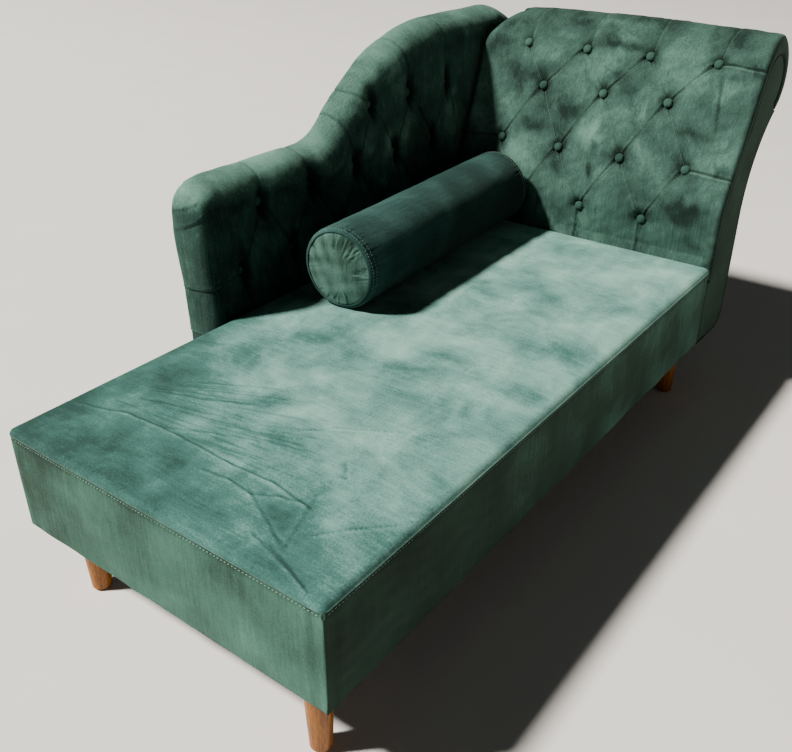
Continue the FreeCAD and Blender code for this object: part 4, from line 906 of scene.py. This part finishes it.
points = np.stack([SEAT_LONG + line[k, 0] + out * normal[k, 0], across, line[k, 1] + out * normal[k, 1]], -1)
back_panel = cloth("headrest_back_panel", points, raised_to((1, 0, 0)), thick=2.5)
dress(back_panel, side_velvet, "chaise", "velvet", "headrest_back_cover")


# Arm. One wadded pad covers the inside, the rolled crest and both ends, buttoned deeply in diamonds with
# pleats that run over the crest. A skirt, an outside panel and a dust cover close the rest.
ARM_START, ARM_END, ARM_THICK = 480.0, 1725.0, 98.0
HALF = ARM_THICK / 2
CREST_LOW, CREST_HIGH, OGEE_START, OGEE_END = 615.0, 822.0, 840.0, 1370.0
LOW_RADIUS, OGEE_TURN = 150.0, math.radians(42.67)
HIGH_RADIUS = ((OGEE_END - OGEE_START) / math.sin(OGEE_TURN)) - LOW_RADIUS
FRONT_CORNER, REAR_CORNER = 60.0, 110.0
ARM_FACE = 700.3


def arm_outline(bottom):
    upright, level = math.pi / 2, 0.0
    front = arc(ARM_START + FRONT_CORNER, CREST_LOW - FRONT_CORNER, FRONT_CORNER, math.pi, upright, 24)
    low = arc(OGEE_START, CREST_LOW + LOW_RADIUS, LOW_RADIUS, -upright, OGEE_TURN - upright, 60)
    high = arc(OGEE_END, CREST_HIGH - HIGH_RADIUS, HIGH_RADIUS, OGEE_TURN + upright, upright, 60)
    rear = arc(ARM_END - REAR_CORNER, CREST_HIGH - REAR_CORNER, REAR_CORNER, upright, level, 40)
    return np.concatenate([[[ARM_START, bottom]], front, low, high[1:], rear, [[ARM_END, bottom]]])


ARM_PITCH, ROW_GAP, ARM_ROWS, ARM_SUNK = 156.0, 127.0, (416.0, 543.0, 670.0), 31.0
arm_buttons = ([(588 + ARM_PITCH * k, ARM_ROWS[0]) for k in range(5)]
               + [(666 + ARM_PITCH * k, ARM_ROWS[1]) for k in range(5)]
               + [(1056 + ARM_PITCH * k, ARM_ROWS[2]) for k in range(3)])
CREST_SEAMS = [((666, 543), (672, 615)), ((822, 543), (815, 615)), ((978, 543), (947, 657)),
               ((1056, 670), (1012, 697)), ((1212, 670), (1182, 793)), ((1368, 670), (1352, 822)),
               ((744, 416), (744, 300)), ((588, 416), (588, 300)), ((900, 416), (900, 300)),
               ((1056, 416), (1056, 300)), ((1212, 416), (1212, 300))]
FRONT_SEAMS = [((72, 558), (0, 579), 2.4), ((74, 519), (-12, 552), 2.6), ((90, 393), (-108, 416), 3.0),
               ((60, 602), (8, 594), 1.6), ((64, 586), (20, 588), 1.6)]


def arm_relief(x, z):
    broad, line = np.zeros_like(x), np.zeros_like(x)
    for side, place in arm_buttons:
        near = np.hypot(x - side, z - place)
        pit = np.exp(-((x - side) / 17) ** 2 - ((z - place) / 34) ** 2)
        broad = broad - 20.0 * pit - 4.0 * ridge(near, 62)
        line = line - 3.0 * ridge(near, 12)
    for side, place in arm_buttons:
        for to_side, to_place in arm_buttons:
            if abs(to_place - place - ROW_GAP) < 1 and abs(abs(to_side - side) - ARM_PITCH / 2) < 1:
                across, share = beside(x, z, (side, place), (to_side, to_place))
                between_them = unit(share * 10) * unit((1 - share) * 10)
                broad = broad - 4.5 * between_them * ridge(across, 20)
                line = line - 1.6 * between_them * ridge(across, 3.2)
    for start, end in CREST_SEAMS:
        across, share = beside(x, z, start, end)
        started = unit(share * 5)
        line = line - 1.7 * started * ridge(across, 2.5)
        broad = broad - 3.0 * started * ridge(across, 17) * (1.0 if end[1] < 400 else unit(1 - share))
    return broad, line


END_SQUARE, OUTER_SQUARE, CREST_SQUARE, PAD_HEM = 3.4, 5.0, 2.0, 300.0
CREST_REACH, CREST_IN, CREST_OUT = 62.0, 72.0, 26.0
ring = np.linspace(0, math.pi, 47)[1:-1]
ends = HALF * (1 - np.cos(np.linspace(0, math.pi / 2, 26)) ** (2 / END_SQUARE))
x = np.concatenate([ARM_START + ends, np.linspace(ARM_START + HALF, ARM_END - HALF, 330)[1:-1],
                    ARM_END - ends[::-1]])
outline = arm_outline(BOX_BOTTOM)
crest = np.interp(x, *arm_outline(BOX_BOTTOM)[1:-1].T)
floor_z = np.where(x < SEAT_LONG, PAD_HEM, BOX_BOTTOM)
outer_floor = np.where(x < ARM_START + HALF, PAD_HEM, BOX_BOTTOM)
inner = np.linspace(0, 1, 125)
low_part = floor_z[:, None] + (crest[:, None] - HALF - floor_z[:, None]) * inner
over_part = crest[:, None] - HALF + HALF * np.sin(ring)
outer_z = crest[:, None] - HALF - (crest[:, None] - HALF - outer_floor[:, None]) * inner
z = np.concatenate([low_part, over_part, outer_z], 1)
inside_half = np.concatenate([np.ones(len(inner)), (ring < math.pi / 2) * 1.0, np.zeros(len(inner))])
x_grid = np.repeat(x[:, None], z.shape[1], 1)
inset = edge_distance(np.stack([x_grid, z], -1), outline)
inset[inset < 0.001] = 0
near_end = unit(1.6 - np.minimum(x_grid - ARM_START, ARM_END - x_grid) / 50)
end_power = np.where(inside_half > 0.5, END_SQUARE, OUTER_SQUARE)
power = CREST_SQUARE + (end_power - CREST_SQUARE) * near_end * unit((crest[:, None] - z) / 60)
reach = HALF + np.where(inside_half > 0.5, CREST_REACH - HALF, CREST_OUT - HALF) * (1 - near_end)
half_wide = HALF + np.where(inside_half > 0.5, CREST_IN - HALF, CREST_OUT - HALF) * (1 - near_end)
bulge = half_wide * (1 - (1 - (1 - np.minimum(inset, reach) / reach) ** power) ** (1 / power))
depth = np.where(inside_half > 0.5, bulge, ARM_THICK - bulge)
lean = np.maximum(z - SEAT_TOP, 0) * ARM_LEAN
base = np.stack([x_grid, ARM_FACE + depth + lean, z], -1)
normal = normals_of(base)
if normal[200, 60, 1] > 0:
    normal = -normal
hold = np.where(inside_half > 0.5, 1.0, unit(1.2 - inset / 25))
hold = hold * unit((z - SEAT_TOP + 10) / 30)
coarse_x, coarse_j = np.arange(0, len(x), 2), np.arange(0, len(inner) + 44, 2)
pick = np.ix_(coarse_x, coarse_j)
broad, line = arm_relief(x_grid, z)
held = np.zeros_like(z)
for side, place in arm_buttons:
    held = np.maximum(held, 1.0 * (np.hypot(x_grid - side, z - place) < 11))
below_crest = unit((crest[:, None] - z - 15) / 60)
held = np.maximum(held, 0.4 * below_crest * unit(-line / 3) + 1.0 * (z < SEAT_TOP - 10))[pick]
held[[0, 1, 2, -3, -2, -1]] = held[:, [0, -1]] = 1.0
shape = (base + normal * (broad * hold)[..., None])[pick]
move = inflated(shape, held, -3.0 if normals_of(shape)[60, 20, 1] > 0 else 3.0, 8.0)
swell = smoothed((move * normal[pick]).sum(-1), 5)
swell = finer(swell, coarse_x, coarse_j, np.arange(len(x)), np.arange(z.shape[1]))
swell = swell * (np.arange(z.shape[1]) <= coarse_j[-1]) * below_crest * unit((x_grid - ARM_START - 45) / 50)
lift = (broad + line + 0.7 * waves(120, 51, x_grid, z) + 0.3 * waves(30, 52, x_grid, z)) * hold + swell
facing_up, facing_foot = unit(normal[..., 2]), unit(-normal[..., 0])
# Painted light and shade: the pile is drawn darker in pits and seams, and darker near the front end on faces
# not turned to the foot. On the crest it is paler where it faces up and darker where it faces the foot. In
# the pit round each button it is nearly black.
nap = 0.4 * line * hold + 0.3 * brush_marks(53, x_grid, z, 80, 1.2, (25, 80), (6, 24)) * (1 - near_end)
nap = nap - 0.2 - 0.8 * unit(1.6 - (x_grid - ARM_START) / 150) * (1 - facing_foot)
crest_shade = 2.1 - 0.9 * unit((x_grid - 740) / 150)
nap = nap + crest_shade * unit(1.7 * facing_up - 0.25) - 0.1 * facing_foot ** 2
for side, place in arm_buttons:
    nap = nap - 3.6 * hold * np.exp(-((x_grid - side) / 12) ** 2 - ((z - place + 3) / 32) ** 2)
round_front = x_grid - ARM_START - depth
for (far_w, far_z), (near_w, near_z), deep in FRONT_SEAMS:
    across, share = beside(round_front, z, (-far_w, far_z), (-near_w, near_z))
    held = unit(share * 20 + 1) * unit((1 - share) * 20 + 1) * (depth < 90)
    lift = lift + held * deep * (0.7 * ridge(across + 5, 5) - ridge(across, 2.6) - 0.4 * ridge(across, 14))
normal[0], normal[-1] = (-1, 0, 0), (1, 0, 0)
points = base + normal * lift[..., None]
# Painted light and shade: paler where each pillow bulges up, darker where it turns down.
pillow_light = normals_of(points)[..., 2] * np.sign(normals_of(points)[200, 140, 2]) - normal[..., 2]
nap = nap + 1.6 * hold * np.clip(pillow_light, -0.5, 0.5) * (1 - near_end)
# Painted shade: the arm's copy of the velvet is darker than the seat's, as for its inner face in shade.
arm_velvet = crushed_velvet("crushed_velvet_arm", "#587F73", "#2C4841", "#0F201D", 2, 0.12)
arm_pad = cloth("arm_pad", points, lambda c: (0, -1 if c.y < 0.36 else 1, 0.2), thick=4.0, nap=nap)
dress(arm_pad, arm_velvet, "chaise", "velvet", "arm_tufted_cover")
places = []
for side, place in arm_buttons:
    outward = np.array([0, -1, ARM_LEAN])
    at = np.array([side, ARM_FACE + max(0, place - SEAT_TOP) * ARM_LEAN, place])
    places.append((at - ARM_SUNK * outward, outward))
sew_on("arm_covered_buttons", places, arm_velvet, "arm_buttons")


# Arm's skirt. A plain velvet panel under the pad, round the arm's front end and down to the bottom edge,
# where it is stapled under the frame.
up_skirt = np.concatenate([np.linspace(0, 8, 7), np.linspace(12, 168, 32)])
turn, z = np.meshgrid(np.linspace(0, math.pi, 80), up_skirt, indexing="ij")
square = np.where(turn < math.pi / 2, END_SQUARE, OUTER_SQUARE)
half = HALF - 1.5 - rolled_edge(z, 4.0)
back = half * (1 - np.maximum(np.sin(turn), 0) ** (2 / square))
across = half * np.sign(np.cos(turn)) * np.abs(np.cos(turn)) ** (2 / square)
points = np.stack([ARM_START + HALF - half + back, ARM_FACE + HALF - across, BOX_BOTTOM + 0.5 + z], -1)
nap = -0.8 + 0.2 * waves(60, 54, across, z)
skirt = cloth("arm_front_skirt_panel", points, raised_to((-1, 0, 0)), nap=nap)
dress(skirt, arm_velvet, "chaise", "velvet", "arm_front_skirt")


# Arm's outside panel. One velvet panel on the outer face, its edge turned in over tacking strip beside the
# pad's rolled edge.
HEM_IN = 44.0
inset_line = arm_outline(BOX_BOTTOM + 2)
tangent = np.gradient(inset_line, axis=0)
tangent /= np.linalg.norm(tangent, axis=1)[:, None]
inward = np.stack([tangent[:, 1], -tangent[:, 0]], -1)
inset_line = inset_line + HEM_IN * inward
between_hems = (inset_line[:, 0] >= ARM_START + HEM_IN - 0.1) & (inset_line[:, 0] <= ARM_END - HEM_IN + 0.1)
inset_line = inset_line[between_hems]
inset_line[0, 1] = inset_line[-1, 1] = BOX_BOTTOM + 2
upper = spaced(inset_line, 300)
lower = np.stack([np.linspace(ARM_START + HEM_IN, ARM_END - HEM_IN, 300), np.full(300, BOX_BOTTOM + 2.0)], -1)
grid = between(lower, upper, 60)
away = rolled_edge(edge_distance(grid, np.concatenate([lower, upper[::-1], lower[:1]])), 5.0)
z = grid[..., 1]
y = ARM_FACE + ARM_THICK + 1.2 - away + np.maximum(z - SEAT_TOP, 0) * ARM_LEAN
y = y + 0.5 * np.maximum(waves(170, 61, grid[..., 0], z), -1)
outside = cloth("arm_outside_panel", np.stack([grid[..., 0], y, z], -1), raised_to((0, 1, 0)), thick=2.5)
dress(outside, side_velvet, "chaise", "velvet", "arm_outside_cover")


# Bolster. A loose round cushion beside the arm: a velvet tube over a foam core, gathered into a topstitched
# ring at each end and closed by a gathered disc.
NEAR_END, FAR_END, BOLSTER_RADIUS = np.array([680.6, 543.0, 432.2]), np.array([1355.8, 575.4, 432.2]), 88.0
axis = FAR_END - NEAR_END
BOLSTER_LONG = np.linalg.norm(axis)
axis /= BOLSTER_LONG
level = np.array([-axis[1], axis[0], 0.0])
SHOULDER, DISC_RADIUS, TUCKS, SEAT_LEVEL = 9.0, 81.0, 44, 347.2


def around(along, radius, angle):
    return (NEAR_END + along[..., None] * axis + (radius * np.cos(angle))[..., None] * level
            + (radius * np.sin(angle))[..., None] * np.array([0, 0, 1.0]))


def flattened(points):
    under = np.maximum(SEAT_LEVEL - points[..., 2], 0)
    points[..., 2] = points[..., 2] + under * 0.85
    return points


angle = np.linspace(0, 2 * math.pi, 260, endpoint=False)
curl = np.linspace(0, math.pi / 2, 12)
end_along = SHOULDER * (1 - np.sin(curl[::-1]))
end_drop = SHOULDER * (1 - np.cos(curl[::-1]))
body = np.linspace(SHOULDER, BOLSTER_LONG - SHOULDER, 180)
along = np.concatenate([[3.0], end_along, body[1:-1], BOLSTER_LONG - end_along[::-1], [BOLSTER_LONG - 3.0]])
radius = np.concatenate([[DISC_RADIUS - 1], BOLSTER_RADIUS - end_drop, np.full(len(body) - 2, BOLSTER_RADIUS),
                         BOLSTER_RADIUS - end_drop[::-1], [DISC_RADIUS - 1]])
along_grid, angle_grid = np.meshgrid(along, angle, indexing="ij")
radius_grid = np.repeat(radius[:, None], len(angle), 1)
from_end = np.minimum(along_grid, BOLSTER_LONG - along_grid)
draw = np.random.default_rng(75)
gather = np.zeros_like(angle_grid)
for k in range(TUCKS):
    turn = angle_grid - 2 * math.pi * (k + draw.uniform(0.1, 0.9)) / TUCKS
    turn = (turn + math.pi) % (2 * math.pi) - math.pi
    reach, deep = draw.uniform(10, 30), draw.uniform(0.7, 1.8)
    gather = gather - deep * ridge(turn * BOLSTER_RADIUS, 2.3) * ridge(np.maximum(from_end - 7, 0), reach)
gather = gather * unit((from_end - 3) / 5)
on_tube = (along_grid, BOLSTER_RADIUS * np.cos(angle_grid), BOLSTER_RADIUS * np.sin(angle_grid))
slack = 0.4 * waves(170, 72, *on_tube) + 0.3 * waves(42, 73, *on_tube)
points = flattened(around(along_grid, radius_grid + gather + slack - 0.8, angle_grid))
# Painted shade: the tube's copy of the velvet is darker than the seat's.
bolster_velvet = crushed_velvet("crushed_velvet_bolster", "#426763", "#223E3B", "#0C2020", 0, 0.15, 0.2, 0.08)
# Painted shade: darker in the tucks of the gathers, darker toward the far end, and darker still on the lower
# side toward the open side, away from the lamp.
nap = 0.2 * waves(120, 74, along_grid, BOLSTER_RADIUS * angle_grid) + 0.55 * gather
under = unit((0.75 - np.sin(angle_grid)) / 0.8) * (np.cos(angle_grid) < 0)
nap = nap + 0.4 - 0.6 * along_grid / BOLSTER_LONG - under * (0.8 + 1.8 * along_grid / BOLSTER_LONG)
tube = cloth("bolster_tube", points, lambda c: (0, c.y - 0.14, c.z - 0.4322), ring=True, nap=nap)
dress(tube, bolster_velvet, "bolster", "velvet", "bolster_cover")


def gathered_disc(name, node_name, at_far):
    ring = np.concatenate([np.linspace(0, DISC_RADIUS, 34), [DISC_RADIUS + 1.0]])
    ring_grid, angle_grid = np.meshgrid(ring, angle, indexing="ij")
    crown = 9.0 * (1 - (ring_grid / DISC_RADIUS) ** 3)
    draw = np.random.default_rng(77 + at_far)
    flat_u, flat_v = ring_grid * np.cos(angle_grid), ring_grid * np.sin(angle_grid)
    folds = 0.7 * waves(26, 78 + at_far, flat_u, flat_v)
    for k in range(40):
        turn, reach = draw.normal(2.2, 0.7) if k % 3 else draw.uniform(0, 6.28), draw.uniform(14, 52)
        rim = (DISC_RADIUS - 5) * np.array([math.cos(turn), math.sin(turn)])
        aim = turn + draw.normal(0, 0.22)
        across, share = beside(flat_u, flat_v, rim, rim - reach * np.array([math.cos(aim), math.sin(aim)]))
        across = across + draw.normal(0, 4.0) * share ** 2
        held = unit(share * 8 + 1) * unit((1 - share) * 2.0)
        folds = folds + draw.uniform(0.4, 1.3) * held * (0.8 * ridge(across - 3.5, 3.4) - ridge(across, 2.8))
    folds = folds * unit((DISC_RADIUS - ring_grid) / 6)
    seam = -1.2 * ridge(ring_grid - DISC_RADIUS, 3.0)
    out = crown + folds + seam + 0.3 - 3.0 * (ring_grid > DISC_RADIUS)
    along, sign = (BOLSTER_LONG + out - 3, 1) if at_far else (3 - out, -1)
    points = around(along, ring_grid, angle_grid)
    # Painted light: the pile is drawn paler all over, as for an end turned to the lamp, with painted shade in
    # the hollows of the folds and painted highlights on their lips.
    nap = 0.8 + 0.5 * folds + 0.2 * waves(44, 79, flat_u, flat_v)
    piece = cloth(name, points, raised_to(tuple(sign * axis)), ring=True, nap=nap)
    dress(piece, disc_velvet, "bolster", "velvet", node_name)


# Painted light: the discs' copy of the velvet is paler than the tube's.
disc_velvet = crushed_velvet("crushed_velvet_discs", "#4D6F66", "#2C463E", "#14251F", 2, 0.15)
gathered_disc("bolster_disc_near", "bolster_end_near", False)
gathered_disc("bolster_disc_far", "bolster_end_far", True)

rings = []
for along in (5.0, 15.0, BOLSTER_LONG - 15.0, BOLSTER_LONG - 5.0):
    for turn in np.arange(0, 2 * math.pi, STITCH_PITCH / BOLSTER_RADIUS):
        drop = max(SHOULDER - min(along, BOLSTER_LONG - along), 0) ** 2 / (2 * SHOULDER)
        middle = around(np.array(along), np.array(BOLSTER_RADIUS - drop - 0.6), np.array(turn))
        if middle[2] > SEAT_LEVEL + 1:
            rings.append((middle, -math.sin(turn) * level + math.cos(turn) * np.array([0, 0, 1.0])))
stitches("bolster_topstitching", rings, "bolster", 0.5)


# Studio. A floor of plain pale matt paper, one large soft lamp from beyond the arm's foot end, a faint warm
# fill near the camera, and the camera as it was fitted to the seat's corners in the photo.
paper = flecked("seamless_paper", "Noise", 3.0, (0.2, "#F0EFED"), (0.8, "#F6F5F3"), Roughness=0.9)
bpy.ops.object.select_all(action="DESELECT")
bpy.ops.mesh.primitive_plane_add(size=60.0, location=(0, 0, 0))
floor = bpy.context.object
floor.name = "studio_floor"
floor.data.materials.append(paper)

world = bpy.data.worlds.new("studio_air")
world.use_nodes = True
world.node_tree.nodes["Background"].inputs["Color"].default_value = linear("#E6EAEC")
world.node_tree.nodes["Background"].inputs["Strength"].default_value = 0.035
bpy.context.scene.world = world


def softbox(name, towards, distance, size, power, colour):
    light = bpy.data.lights.new(name, "AREA")
    light.shape, light.size, light.energy = "DISK", size, power
    light.color = linear(colour)[:3]
    lamp = added(name, light)
    direction = Vector(towards).normalized()
    lamp.location = direction * distance
    lamp.rotation_euler = direction.to_track_quat("Z", "Y").to_euler()


softbox("key_softbox", (-0.61, 0.59, 1.0), 30.0, 3.25, 19800, "#FFF8EE")
softbox("fill_softbox", (0.1, -1.0, 0.2), 5.0, 3.0, 9, "#FFEBD0")

camera = bpy.data.cameras.new("camera")
camera.lens, camera.sensor_width = 40.82, 36.0
viewer = added("camera", camera)
viewer.location = (-1.4775, -0.9951, 1.156)
viewer.rotation_euler = (math.radians(90 - 29.73), 0, math.radians(36.83 - 90))
bpy.context.scene.camera = viewer
